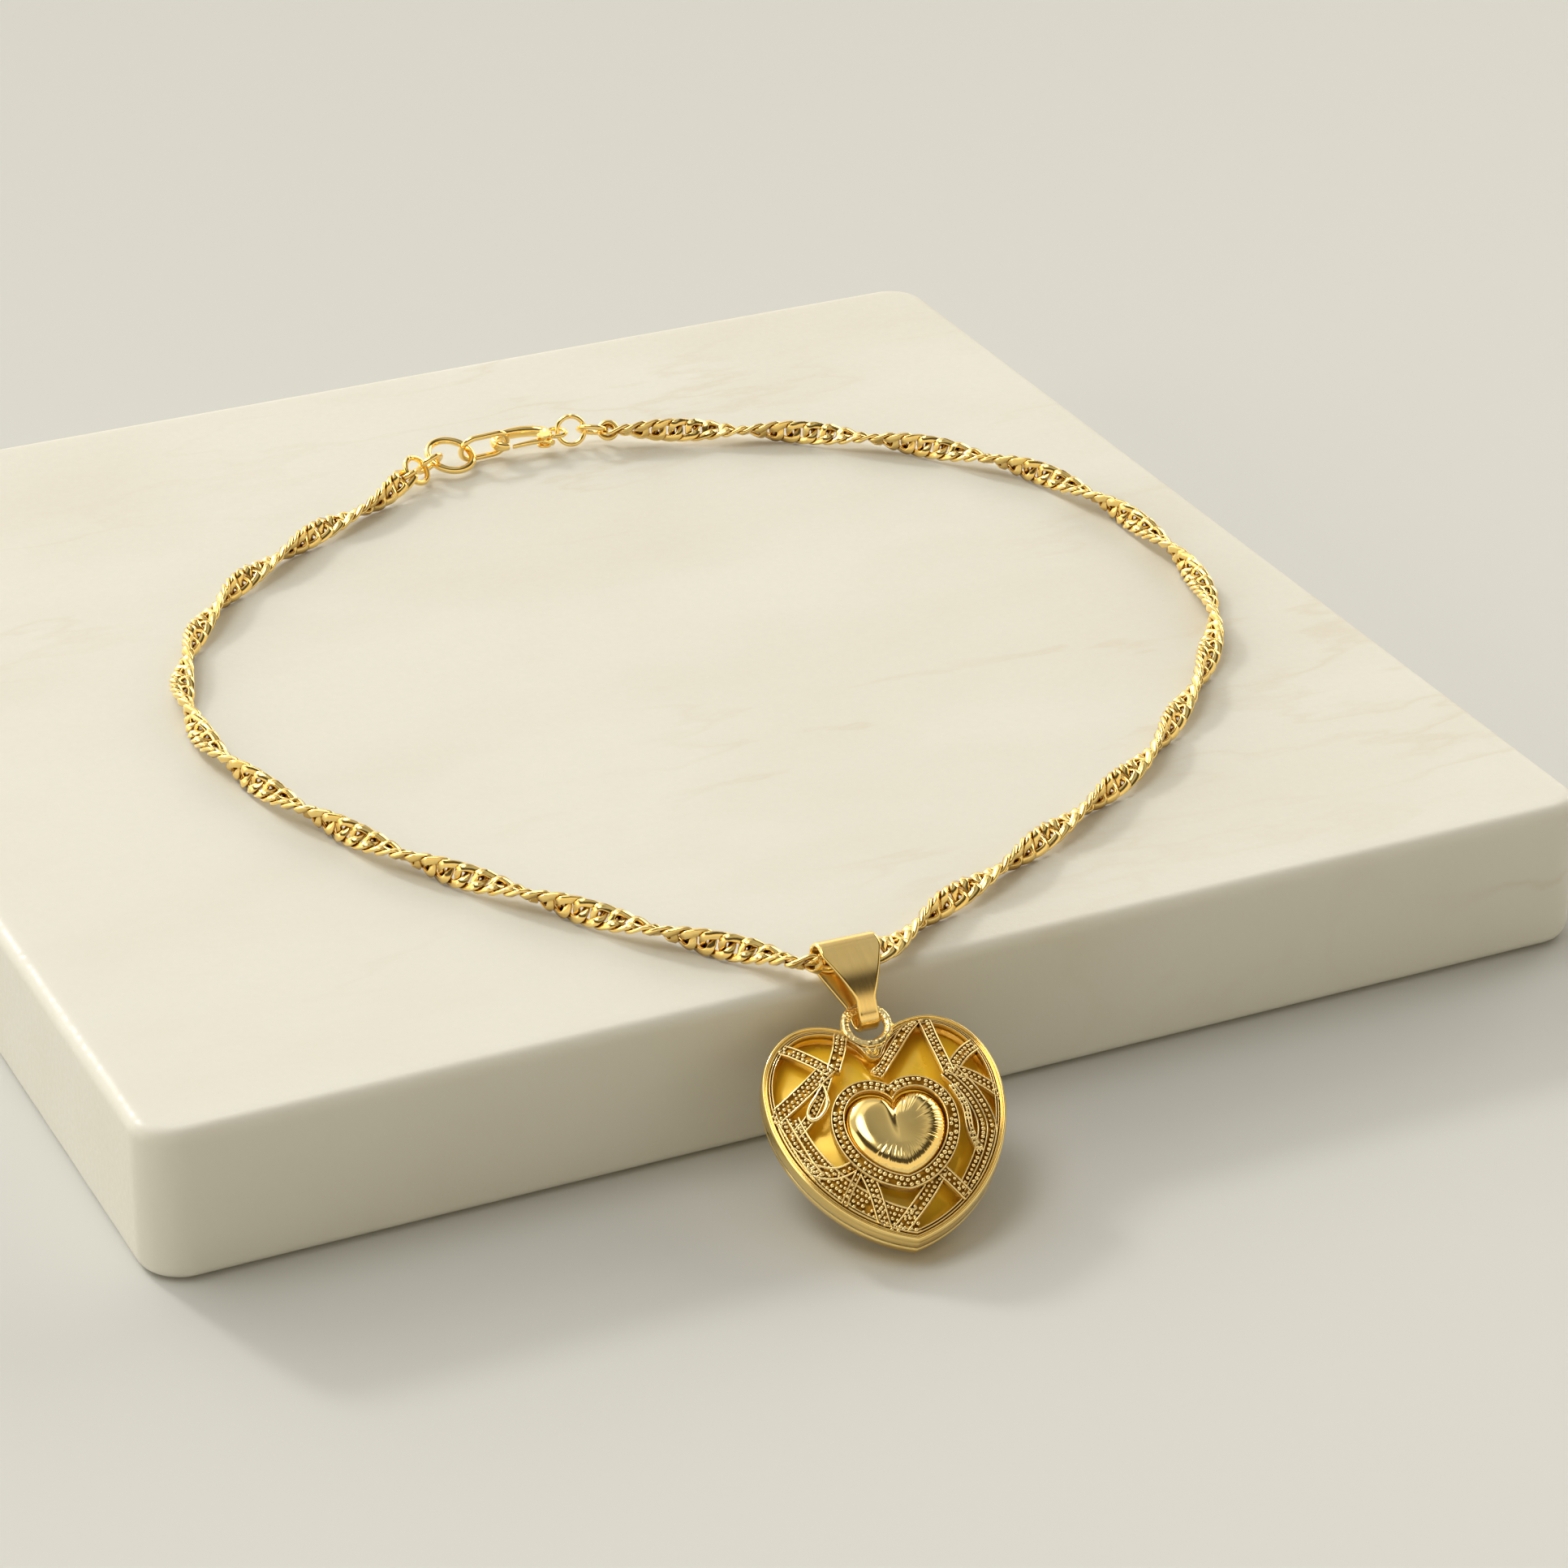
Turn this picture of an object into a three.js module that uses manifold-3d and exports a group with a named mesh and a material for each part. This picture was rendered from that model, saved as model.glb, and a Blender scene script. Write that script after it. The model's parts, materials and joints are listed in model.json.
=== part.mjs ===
// A heart pendant necklace laid out on its square stone display slab.
//
// Millimetres, +Z up. The origin is the centre of the slab's underside, +X runs along the slab's
// front edge and +Y to its back. The chain lies on the slab in one closed loop, its clasp at the
// back, and the pendant hangs over the front edge and leans with its tip just clear of the ground.

import * as THREE from "three";
import { mergeVertices } from "three/addons/utils/BufferGeometryUtils.js";
import Module from "manifold-3d";

const wasm = await Module();
wasm.setup();

const DEG = Math.PI / 180;

// How far a cutter runs past what it cuts
const CUT_MARGIN = 1;

// Display slab
const SLAB_WIDTH = 170;
const SLAB_DEPTH = 171;
const SLAB_HEIGHT = 17.5;
const SLAB_EDGE = 1.6;
const SLAB_CORNER = 5;

// Chain: the envelope of the twisted links, and the loop that ends it at either side
const CHAIN_DIAMETER = 2.5;
const CHAIN_STEPS = 156;
const CHAIN_SIDES = 8;
const CHAIN_LIFT = 0.2;
const EYE_RADIUS = 1.1;
const EYE_WIRE = 0.65;

// Where the chain passes through the bail, above the slab's front edge, and the straight stretch
// of its route there with the shares at which its points lie
const BAIL_OFF_CENTRE = -7.7;
const BAIL_SET_BACK = 0.1;
const BAIL_RAISE = 2.5;
const BAIL_HEADING = -2;
const BAIL_STRAIGHT = 4.2;
const STRAIGHT_SHARES = [-1, -0.6, 0, 0.6, 1];

// Bail
const BAIL_SLOPE = 44.4;
const BAIL_LENGTH = 5.77;
const BAIL_WALL = 0.45;
const BAIL_TOP_ROOM = 0.4;
const BAIL_FOOT_ROOM = 1.15;
const BAIL_FOOT_DROP = 0.9;
const BAIL_TOP_WIDTH = 6.7;
const BAIL_FOOT_WIDTH = 2.2;
const BAIL_FOOT_STRAIGHT = 0.5;

// Heart case
const HEART_WIDTH = 25.2;
const HEART_HEIGHT = 26.8;
const HEART_NOTCH = 3.8;
const HEART_CENTRE = 13.5;
const HEART_HEADING = -12.9;
const CASE_DEPTH = 4.1;
const CASE_WALL = 0.7;
const CASE_BACK = 0.5;
const BACK_RISE = 1.2;
const RIM_HEIGHT = 0.3;
const RIM_ROUND = 0.14;
const SEAM_HEIGHT = -1.6;
const SEAM_DEPTH = 0.15;
const TIP_CLEARANCE = 0.2;
const HANGER_RADIUS = 2.3;
const HANGER_WIRE = 1.1;
const HANGER_STAND = 5.5;

// Filigree, the polished plate under it and the polished heart at its middle
const FRONT_RISE = 2.8;
const FRONT_SHEET = 0.7;
const PLATE_DROP = 0.95;
const PLATE_SHEET = 0.5;
const CENTRE_WIDTH = 10.4;
const CENTRE_HEIGHT = 9.9;
const CENTRE_NOTCH = 1.6;
const CENTRE_FOOT = 6.4;
const CENTRE_SEAT = 0.45;
const CENTRE_RISE = 1.3;
const CENTRE_SHEET = 0.6;
const BORDER_BAND = 1.25;
const BORDER_RAISE = 0.45;
const SEAT_GAP = 0.2;

// Clasp run along the back of the loop
const RUN_HEIGHT = 2.2;
const RUN_START = [-3.4, 49.4];
const LINK_GAP = 0.22;
const CLASP_SLACK = 0.8;
const CLASP_LENGTH = 10.6;
const CLASP_HEAD = 8.4;
const CLASP_WIDTH = 5.6;
const CLASP_THICK = 1.6;
const CLASP_BAR = 1.15;
const CLASP_EYE = 1.5;
const CLASP_EYE_HOLE = 0.9;
const CLASP_EYE_THICK = 0.8;
const NECK_FRONT = 3.4;
const NECK_BACK = 1.6;
const NECK_OVERLAP = 1.7;
const HOOK_TIP = 1;
const PIN_RADIUS = 0.32;
const PIN_PLAY = 0.12;
const PIN_FROM_NOSE = 6.8;
const PIN_OFF_MIDDLE = 1.5;
const EAR_RADIUS = 0.95;
const LEVER_THICK = 0.8;
const LEVER_WIDTH = 1.1;
const LEVER_TIP_WIDTH = 0.4;
const LEVER_TAIL = 1.88;
const LEVER_GAP = 0.15;
const GATE_BEFORE_PIN = 0.75;
const SLOT_BEFORE_PIN = 1.25;
const SLOT_INSIDE_PIN = 1.7;

// The clasp's rings in their order from the chain's left end: the radius to the wire's middle,
// the straight part of an oval one, the wire, the heading in degrees and the tilt from lying flat.
const LEFT_RINGS = [
  { name: "jump_ring_left_1", radius: 1.75, straight: 0, wire: 0.7, heading: 35, tilt: 50 },
  { name: "jump_ring_left_2", radius: 1.75, straight: 0, wire: 0.7, heading: 25, tilt: -50 },
  { name: "end_ring", radius: 2.9, straight: 0, wire: 0.95, heading: 16, tilt: 20 },
  { name: "oval_link", radius: 1.75, straight: 3, wire: 0.75, heading: 4, tilt: -70 },
];
const RIGHT_RINGS = [
  { name: "jump_ring_right_1", radius: 1.8, straight: 0, wire: 0.6, heading: -12, tilt: 68 },
  { name: "jump_ring_right_2", radius: 1.8, straight: 0, wire: 0.65, heading: -30, tilt: -35 },
];
const CLASP_HEADING = 0;
const LEFT_EYE_TILT = 40;
const RIGHT_EYE_TILT = 45;
const RIGHT_EYE_HEADING = -28;

// Chain route: x and y of its middle line on the slab, by hand, from the left end to the bail
// and from the bail to the right end. The two ends and the bail's place are worked out.
const LEFT_ROUTE = [
  [-9.5, 45], [-18.3, 40.3], [-27.4, 34.2], [-34.4, 28.6], [-39.7, 22.6], [-45, 14.6],
  [-49, 5], [-50.7, -5], [-50.2, -15], [-47.6, -26], [-43.6, -37], [-38.6, -47.3],
  [-32.9, -55.8], [-27, -64.7], [-20.8, -72.8], [-15.2, -79.2],
];
const RIGHT_ROUTE = [
  [-0.1, -82.8], [5, -79.4], [11, -76.3], [17.6, -73], [24.5, -69.2], [31.6, -65], [39.8, -60],
  [47.4, -53.8], [54.6, -46.6], [61.6, -39], [67.4, -30.6], [71.2, -21.8], [73.1, -12],
  [73.4, -2], [72.2, 8], [69.4, 17.6], [64.4, 26], [57.6, 33.8], [50.2, 40.2], [42.6, 45],
];

// Ribbons of the filigree: the width in mm, and the middle line as shares of the heart's half
// width and of its height. They are left rim, left of the hanger, left sweep, the peak's two
// sides, right rim, right branch, right sweep, right inner, lower right, lower cross, lower left,
// left inner, the foot's two sides and the left curl.
const RIBBONS = [
  { width: 1.4, line: [[-0.86, 0.94], [-0.72, 0.9], [-0.58, 0.83], [-0.42, 0.74]] },
  { width: 1.5, line: [[-0.22, 0.98], [-0.28, 0.88], [-0.4, 0.74]] },
  { width: 1.9, line: [[-0.44, 0.76], [-0.6, 0.7], [-0.79, 0.64], [-0.99, 0.59]] },
  { width: 1.4, line: [[0.48, 1.02], [0.31, 0.93], [0.14, 0.82], [-0.06, 0.7]] },
  { width: 1.4, line: [[0.48, 1.02], [0.49, 0.86], [0.54, 0.68]] },
  { width: 1.5, line: [[0.94, 0.87], [0.73, 0.79], [0.54, 0.68]] },
  { width: 1.5, line: [[0.54, 0.7], [0.75, 0.67], [1.02, 0.59]] },
  { width: 2.3, line: [[0.54, 0.69], [0.7, 0.58], [0.77, 0.46], [0.7, 0.34], [0.48, 0.17]] },
  { width: 0.9, line: [[0.54, 0.62], [0.61, 0.52], [0.61, 0.42], [0.66, 0.34]] },
  { width: 1.4, line: [[0.24, 0.28], [0.39, 0.21], [0.54, 0.14]] },
  { width: 1.5, line: [[0.3, 0.27], [0.15, 0.18], [-0.04, 0.09], [-0.2, 0.03]] },
  { width: 1.3, line: [[-0.32, 0.33], [-0.54, 0.31], [-0.72, 0.35], [-0.88, 0.45]] },
  { width: 1.1, line: [[-0.88, 0.58], [-0.82, 0.48], [-0.75, 0.38], [-0.68, 0.31]] },
  { width: 1.3, line: [[-0.36, 0.33], [-0.29, 0.22], [-0.24, 0.06]] },
  { width: 0.8, line: [[-0.38, 0.29], [-0.49, 0.22], [-0.6, 0.14]] },
  { width: 1.2, line: [[-0.46, 0.72], [-0.56, 0.63], [-0.68, 0.55], [-0.82, 0.5]] },
];
const RIBBON_STEPS = 6;
const RIM_BAND = 0.45;

// Wide band along the rim's lower left, with where it ends as shares of the heart's size
const LOWER_BAND = 2.3;
const LOWER_BAND_ENDS = { tip: 0.04, middle: 0.5, side: 0.62 };

// Case's wall below its seam, as distances in from its outline and heights: it draws in to the back
const WALL_FOOT = [[0.1, -2.2], [0.5, -3.2], [1.4, -CASE_DEPTH]];

// Materials
const goldPolished = new THREE.MeshStandardMaterial({ color: 0xd9ab45, roughness: 0.18, metalness: 1 });
const goldBeaded = new THREE.MeshStandardMaterial({ color: 0xd8b25c, roughness: 0.34, metalness: 1 });
const goldDeep = new THREE.MeshStandardMaterial({ color: 0xc8922a, roughness: 0.26, metalness: 1 });
const goldChain = new THREE.MeshStandardMaterial({ color: 0xd6ac50, roughness: 0.25, metalness: 1 });
const marble = new THREE.MeshStandardMaterial({ color: 0xefe8d8, roughness: 0.55, metalness: 0 });

// Solids

function toSolid(geometry) {
  const bare = geometry.clone();
  bare.deleteAttribute("normal");
  bare.deleteAttribute("uv");
  const merged = mergeVertices(bare, 1e-4);
  const vertProperties = new Float32Array(merged.attributes.position.array);
  const triVerts = new Uint32Array(merged.index.array);
  return new wasm.Manifold(new wasm.Mesh({ numProp: 3, vertProperties, triVerts }));
}

function toGeometry(solid) {
  const mesh = solid.getMesh();
  const geometry = new THREE.BufferGeometry();
  geometry.setAttribute("position", new THREE.BufferAttribute(new Float32Array(mesh.vertProperties), 3));
  geometry.setIndex(new THREE.BufferAttribute(new Uint32Array(mesh.triVerts), 1));
  geometry.computeVertexNormals();
  return geometry;
}

function joined(solids) {
  return solids.reduce((all, next) => all.add(next));
}

function ellipsePoints(x, y, radiusX, radiusY, count) {
  const points = [];
  for (let i = 0; i < count; i += 1) {
    const turn = (i / count) * 2 * Math.PI;
    points.push([x + radiusX * Math.cos(turn), y + radiusY * Math.sin(turn)]);
  }
  return points;
}

function prism(points, low, high) {
  const shape = new THREE.Shape(points.map(([x, y]) => new THREE.Vector2(x, y)));
  const geometry = new THREE.ExtrudeGeometry(shape, { depth: high - low, bevelEnabled: false, steps: 1 });
  return toSolid(geometry.translate(0, 0, low));
}

// Closed skin over rings of points, clockwise as the outlines are, from the lowest middle point.
function loft(rings, firstMiddle, lastMiddle) {
  const count = rings[0].length;
  const positions = [firstMiddle, ...rings.flat(), lastMiddle].flat();
  const at = (ring, i) => 1 + ring * count + (i % count);
  const last = 1 + rings.length * count;
  const index = [];
  for (let i = 0; i < count; i += 1) {
    index.push(0, at(0, i), at(0, i + 1));
    for (let ring = 0; ring + 1 < rings.length; ring += 1) {
      index.push(at(ring, i), at(ring + 1, i), at(ring, i + 1));
      index.push(at(ring, i + 1), at(ring + 1, i), at(ring + 1, i + 1));
    }
    index.push(last, at(rings.length - 1, i + 1), at(rings.length - 1, i));
  }
  const geometry = new THREE.BufferGeometry();
  geometry.setAttribute("position", new THREE.Float32BufferAttribute(positions, 3));
  geometry.setIndex(index);
  geometry.computeVertexNormals();
  return geometry;
}

// Ring of round wire in the XY plane: two half circles joined by straights along X.
function wireRing(radius, straight, wire, arcSteps = 8, sides = 6) {
  const stations = [];
  for (const side of [1, -1]) {
    for (let i = 0; i <= arcSteps; i += 1) {
      const turn = side * 90 * DEG - (i / arcSteps) * 180 * DEG;
      if (straight === 0 && i === arcSteps) continue;
      stations.push({ x: side * straight / 2, turn });
    }
  }
  const positions = [];
  for (const { x, turn } of stations) {
    for (let k = 0; k < sides; k += 1) {
      const around = (k / sides) * 2 * Math.PI;
      const reach = radius + (wire / 2) * Math.cos(around);
      positions.push(x + reach * Math.cos(turn), reach * Math.sin(turn), (wire / 2) * Math.sin(around));
    }
  }
  const index = [];
  const total = stations.length;
  const at = (s, k) => (s % total) * sides + (k % sides);
  for (let s = 0; s < total; s += 1) {
    for (let k = 0; k < sides; k += 1) {
      index.push(at(s, k), at(s, k + 1), at(s + 1, k));
      index.push(at(s + 1, k), at(s, k + 1), at(s + 1, k + 1));
    }
  }
  const geometry = new THREE.BufferGeometry();
  geometry.setAttribute("position", new THREE.Float32BufferAttribute(positions, 3));
  geometry.setIndex(index);
  geometry.computeVertexNormals();
  return geometry;
}

// Heart outlines

// Outline from the notch down the right side to the tip and up the left, tip at (0, foot).
function heartOutline(width, height, notch, foot, perHalf) {
  const half = width / 2;
  const path = new THREE.CurvePath();
  const start = new THREE.Vector2(0, height - notch);
  const lobe = new THREE.Vector2(0.476 * half, height);
  const side = new THREE.Vector2(half, 0.664 * height);
  const tip = new THREE.Vector2(0, 0);
  const mid = (x, y) => new THREE.Vector2(x * half, y * height);
  path.add(new THREE.CubicBezierCurve(start, mid(0.07, 0.94), mid(0.24, 1), lobe));
  path.add(new THREE.CubicBezierCurve(lobe, mid(0.76, 1), mid(1, 0.85), side));
  path.add(new THREE.CubicBezierCurve(side, mid(1.02, 0.4), mid(0.62, 0.08), tip));
  const right = path.getSpacedPoints(perHalf).map((p) => [p.x, p.y + foot]);
  const left = right.slice(1, -1).reverse().map(([x, y]) => [-x, y]);
  return [...right, ...left];
}

// Outline moved inwards by a distance, mitred at its corners.
function inset(outline, distance) {
  const count = outline.length;
  return outline.map(([x, y], i) => {
    const [ax, ay] = outline[(i + count - 1) % count];
    const [bx, by] = outline[(i + 1) % count];
    const before = new THREE.Vector2(y - ay, ax - x).normalize();
    const after = new THREE.Vector2(by - y, x - bx).normalize();
    const normal = before.clone().add(after).normalize();
    const reach = distance / Math.max(0.5, normal.dot(before));
    return [x + normal.x * reach, y + normal.y * reach];
  });
}

function awayFrom([x, y], outline) {
  const point = new THREE.Vector3(x, y, 0);
  const near = new THREE.Vector3();
  const gaps = outline.map(([ax, ay], i) => {
    const [bx, by] = outline[(i + 1) % outline.length];
    const side = new THREE.Line3(new THREE.Vector3(ax, ay, 0), new THREE.Vector3(bx, by, 0));
    return side.closestPointToPoint(point, true, near).distanceTo(point);
  });
  return Math.min(...gaps);
}

// Inset outline for a cut, without the points that a sharp corner folds over.
function cutLine(outline, distance) {
  return inset(outline, distance).filter((point) => (
    awayFrom(point, outline) > Math.abs(distance) * 0.97
  ));
}

function scaled(outline, share, middle) {
  return outline.map(([x, y]) => [x * share, middle + (y - middle) * share]);
}

function raised(outline, height) {
  return outline.map(([x, y]) => [x, y, height]);
}

function crown(share) {
  return 1 - share ** 2.2;
}

// Display slab

function slabGeometry() {
  const halfX = SLAB_WIDTH / 2;
  const halfY = SLAB_DEPTH / 2;
  const shape = new THREE.Shape();
  shape.absarc(halfX - SLAB_CORNER, halfY - SLAB_CORNER, SLAB_CORNER, 0, 90 * DEG);
  shape.absarc(-halfX + SLAB_CORNER, halfY - SLAB_CORNER, SLAB_CORNER, 90 * DEG, 180 * DEG);
  shape.absarc(-halfX + SLAB_CORNER, -halfY + SLAB_CORNER, SLAB_CORNER, 180 * DEG, 270 * DEG);
  shape.absarc(halfX - SLAB_CORNER, -halfY + SLAB_CORNER, SLAB_CORNER, 270 * DEG, 360 * DEG);
  const geometry = new THREE.ExtrudeGeometry(shape, {
    depth: SLAB_HEIGHT - 2 * SLAB_EDGE,
    bevelEnabled: true,
    bevelThickness: SLAB_EDGE,
    bevelSize: SLAB_EDGE,
    bevelOffset: -SLAB_EDGE,
    bevelSegments: 3,
    curveSegments: 5,
  });
  return geometry.translate(0, 0, SLAB_EDGE);
}

// Pendant's place: the bail hangs down a slope from the chain and the heart leans on from it, each
// under its own heading, at the slope that leaves the heart's lowest corner clear of the ground.

const up = new THREE.Vector3(0, 0, 1);

const chainAtBail = new THREE.Vector3(
  BAIL_OFF_CENTRE,
  -SLAB_DEPTH / 2 + BAIL_SET_BACK,
  SLAB_HEIGHT + BAIL_RAISE,
);

function acrossAt(heading) {
  return new THREE.Vector3(Math.cos(heading * DEG), Math.sin(heading * DEG), 0);
}

function alongSlope(heading, slope) {
  const outward = new THREE.Vector3(Math.sin(heading * DEG), -Math.cos(heading * DEG), 0);
  return outward.multiplyScalar(Math.cos(slope)).addScaledVector(up, -Math.sin(slope));
}

function leaningGroup(position, heading, slope) {
  const group = new THREE.Group();
  const x = acrossAt(heading);
  const y = alongSlope(heading, slope).negate();
  const z = new THREE.Vector3().crossVectors(x, y);
  group.quaternion.setFromRotationMatrix(new THREE.Matrix4().makeBasis(x, y, z));
  group.position.copy(position);
  return group;
}

const bailSlope = BAIL_SLOPE * DEG;
const hangerTop = chainAtBail.clone().addScaledVector(alongSlope(BAIL_HEADING, bailSlope), BAIL_LENGTH);
const caseOutline = heartOutline(HEART_WIDTH, HEART_HEIGHT, HEART_NOTCH, 0, 26);
const notchFloor = HEART_HEIGHT - HEART_NOTCH;
const hangerReach = notchFloor + HANGER_STAND;
const wallDraft = WALL_FOOT[WALL_FOOT.length - 1][0];
const footReach = hangerReach - Math.min(...inset(caseOutline, wallDraft).map(([, y]) => y));
const heartSlope = Math.asin((hangerTop.z - TIP_CLEARANCE) / Math.hypot(footReach, CASE_DEPTH))
  - Math.atan2(CASE_DEPTH, footReach);
const heartTip = hangerTop.clone().addScaledVector(alongSlope(HEART_HEADING, heartSlope), hangerReach);

// Clasp run: each piece's place along the back of the loop, walked from the chain's left end.

function heads(degrees) {
  return new THREE.Vector3(Math.cos(degrees * DEG), Math.sin(degrees * DEG), 0);
}

const runZ = SLAB_HEIGHT + RUN_HEIGHT;
const eyeRing = { radius: EYE_RADIUS, straight: 0, wire: EYE_WIRE };

function reachOf(ring) {
  return ring.radius + ring.straight / 2;
}

function walkRings(first, firstCentre, rings) {
  let last = first;
  let centre = firstCentre;
  return rings.map((ring) => {
    const step = reachOf(last) + reachOf(ring) - (last.wire + ring.wire) / 2 - LINK_GAP;
    const lastHeading = last.heading === undefined ? ring.heading : last.heading;
    const mid = (lastHeading + ring.heading) / 2;
    centre = centre.clone().addScaledVector(heads(mid), step);
    last = ring;
    return { ...ring, centre };
  });
}

const leftEye = new THREE.Vector3(RUN_START[0], RUN_START[1], runZ);
const leftRings = walkRings(eyeRing, leftEye, LEFT_RINGS);
const claspLink = leftRings[leftRings.length - 1];
const noseReach = reachOf(claspLink) - claspLink.wire / 2 - CLASP_BAR - CLASP_SLACK;
const claspNose = claspLink.centre.clone().addScaledVector(heads(claspLink.heading), noseReach);
const claspEye = claspNose.clone().addScaledVector(heads(CLASP_HEADING), CLASP_LENGTH - CLASP_EYE);
const eyeHook = { radius: CLASP_EYE_HOLE - LINK_GAP, straight: 0, wire: 0, heading: CLASP_HEADING };
const rightRings = walkRings(eyeHook, claspEye, RIGHT_RINGS);
const lastRing = rightRings[rightRings.length - 1];
const rightEyeRing = { ...eyeRing, heading: RIGHT_EYE_HEADING };
const rightEye = walkRings(lastRing, lastRing.centre, [rightEyeRing])[0].centre;

function tiltedMesh(geometry, centre, headingDegrees, tilt) {
  const turned = new THREE.Matrix4().makeRotationZ(headingDegrees * DEG);
  turned.multiply(new THREE.Matrix4().makeRotationX(tilt * DEG));
  turned.setPosition(centre);
  return geometry.clone().applyMatrix4(turned);
}

// Chain: one tube along its route, with the last link at either end

const chainZ = SLAB_HEIGHT + CHAIN_LIFT + CHAIN_DIAMETER / 2;

// The chain's end at an eye, and the direction in degrees in which it leaves for its next point
function endAt(eye, next, tilt) {
  const away = new THREE.Vector3(next[0] - eye.x, next[1] - eye.y, 0).normalize();
  const point = eye.clone().addScaledVector(away, EYE_RADIUS);
  return { eye, tilt, point, turn: Math.atan2(away.y, away.x) / DEG };
}

const leftEnd = endAt(leftEye, LEFT_ROUTE[0], LEFT_EYE_TILT);
const rightEnd = endAt(rightEye, RIGHT_ROUTE[RIGHT_ROUTE.length - 1], RIGHT_EYE_TILT);

function chainRoute() {
  const onSlab = ([x, y]) => new THREE.Vector3(x, y, chainZ);
  const through = STRAIGHT_SHARES.map((share) => (
    chainAtBail.clone().addScaledVector(acrossAt(BAIL_HEADING), share * BAIL_STRAIGHT)
  ));
  return [
    leftEnd.point,
    ...LEFT_ROUTE.map(onSlab),
    ...through,
    ...RIGHT_ROUTE.map(onSlab),
    rightEnd.point,
  ];
}

function chainGeometry() {
  const section = new THREE.Shape();
  for (let i = 0; i < CHAIN_SIDES; i += 1) {
    const turn = (i / CHAIN_SIDES) * 2 * Math.PI;
    const x = (CHAIN_DIAMETER / 2) * Math.cos(turn);
    const y = (CHAIN_DIAMETER / 2) * Math.sin(turn);
    if (i === 0) section.moveTo(x, y);
    else section.lineTo(x, y);
  }
  const tube = toSolid(new THREE.ExtrudeGeometry(section, {
    steps: CHAIN_STEPS,
    extrudePath: new THREE.CatmullRomCurve3(chainRoute()),
    bevelEnabled: false,
  }));
  const eyes = [leftEnd, rightEnd].map(({ eye, turn, tilt }) => (
    toSolid(tiltedMesh(wireRing(EYE_RADIUS, 0, EYE_WIRE), eye, turn, tilt))
  ));
  return toGeometry(joined([tube, ...eyes]));
}

// Bail: a band folded round the chain and the hanger, wide over the chain and narrow at its foot

function bandLoop(topRadius, footRadius, steps) {
  const lean = Math.asin((topRadius - footRadius) / (BAIL_LENGTH + BAIL_FOOT_DROP));
  const points = [];
  for (let i = 0; i <= steps; i += 1) {
    const turn = -lean + (i / steps) * (Math.PI + 2 * lean);
    points.push([topRadius * Math.cos(turn), BAIL_LENGTH + topRadius * Math.sin(turn)]);
  }
  for (let i = 0; i <= steps; i += 1) {
    const turn = Math.PI + lean + (i / steps) * (Math.PI - 2 * lean);
    points.push([footRadius * Math.cos(turn), footRadius * Math.sin(turn) - BAIL_FOOT_DROP]);
  }
  return points;
}

function bailGeometry() {
  const topRadius = CHAIN_DIAMETER / 2 + BAIL_TOP_ROOM;
  const outerTop = topRadius + BAIL_WALL;
  const outerFoot = BAIL_FOOT_ROOM + BAIL_WALL;
  const bandLoopSteps = 10;
  const band = prism(bandLoop(outerTop, outerFoot, bandLoopSteps), -BAIL_TOP_WIDTH, BAIL_TOP_WIDTH)
    .subtract(prism(
      bandLoop(topRadius, BAIL_FOOT_ROOM, bandLoopSteps),
      -BAIL_TOP_WIDTH - CUT_MARGIN,
      BAIL_TOP_WIDTH + CUT_MARGIN,
    ))
    .rotate([0, -90, 0]);
  const top = BAIL_LENGTH + outerTop + CUT_MARGIN;
  const foot = -BAIL_FOOT_DROP - outerFoot - CUT_MARGIN;
  const front = [
    [-BAIL_FOOT_WIDTH / 2, foot],
    [BAIL_FOOT_WIDTH / 2, foot],
    [BAIL_FOOT_WIDTH / 2, BAIL_FOOT_STRAIGHT],
    [BAIL_TOP_WIDTH / 2, BAIL_LENGTH],
    [BAIL_TOP_WIDTH / 2, top],
    [-BAIL_TOP_WIDTH / 2, top],
    [-BAIL_TOP_WIDTH / 2, BAIL_LENGTH],
    [-BAIL_FOOT_WIDTH / 2, BAIL_FOOT_STRAIGHT],
  ];
  return toGeometry(band.intersect(prism(front, -outerTop - CUT_MARGIN, outerTop + CUT_MARGIN)));
}

// Heart case: domed back, a wall with a seam line, rounded rim and the hanger in one piece

const domeShares = [0.3, 0.55, 0.75, 0.9];
const middlePoint = (height) => [0, HEART_CENTRE, height];

// Ring that the bail holds, and the wedge of solder that fills the heart's notch under it
function hangerSolid() {
  const middle = hangerReach - HANGER_RADIUS;
  const ring = wireRing(HANGER_RADIUS, 0, HANGER_WIRE, 10, 8);
  const hole = ellipsePoints(0, middle, HANGER_RADIUS, HANGER_RADIUS, 20);
  const wedge = [
    [0, notchFloor - CASE_WALL],
    [HANGER_RADIUS, middle],
    [-HANGER_RADIUS, middle],
  ];
  const solder = prism(wedge, -HANGER_WIRE / 2, HANGER_WIRE / 3)
    .subtract(prism(hole, -HANGER_WIRE, HANGER_WIRE));
  return toSolid(tiltedMesh(ring, new THREE.Vector3(0, middle, 0), 90, 0)).add(solder);
}

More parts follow.
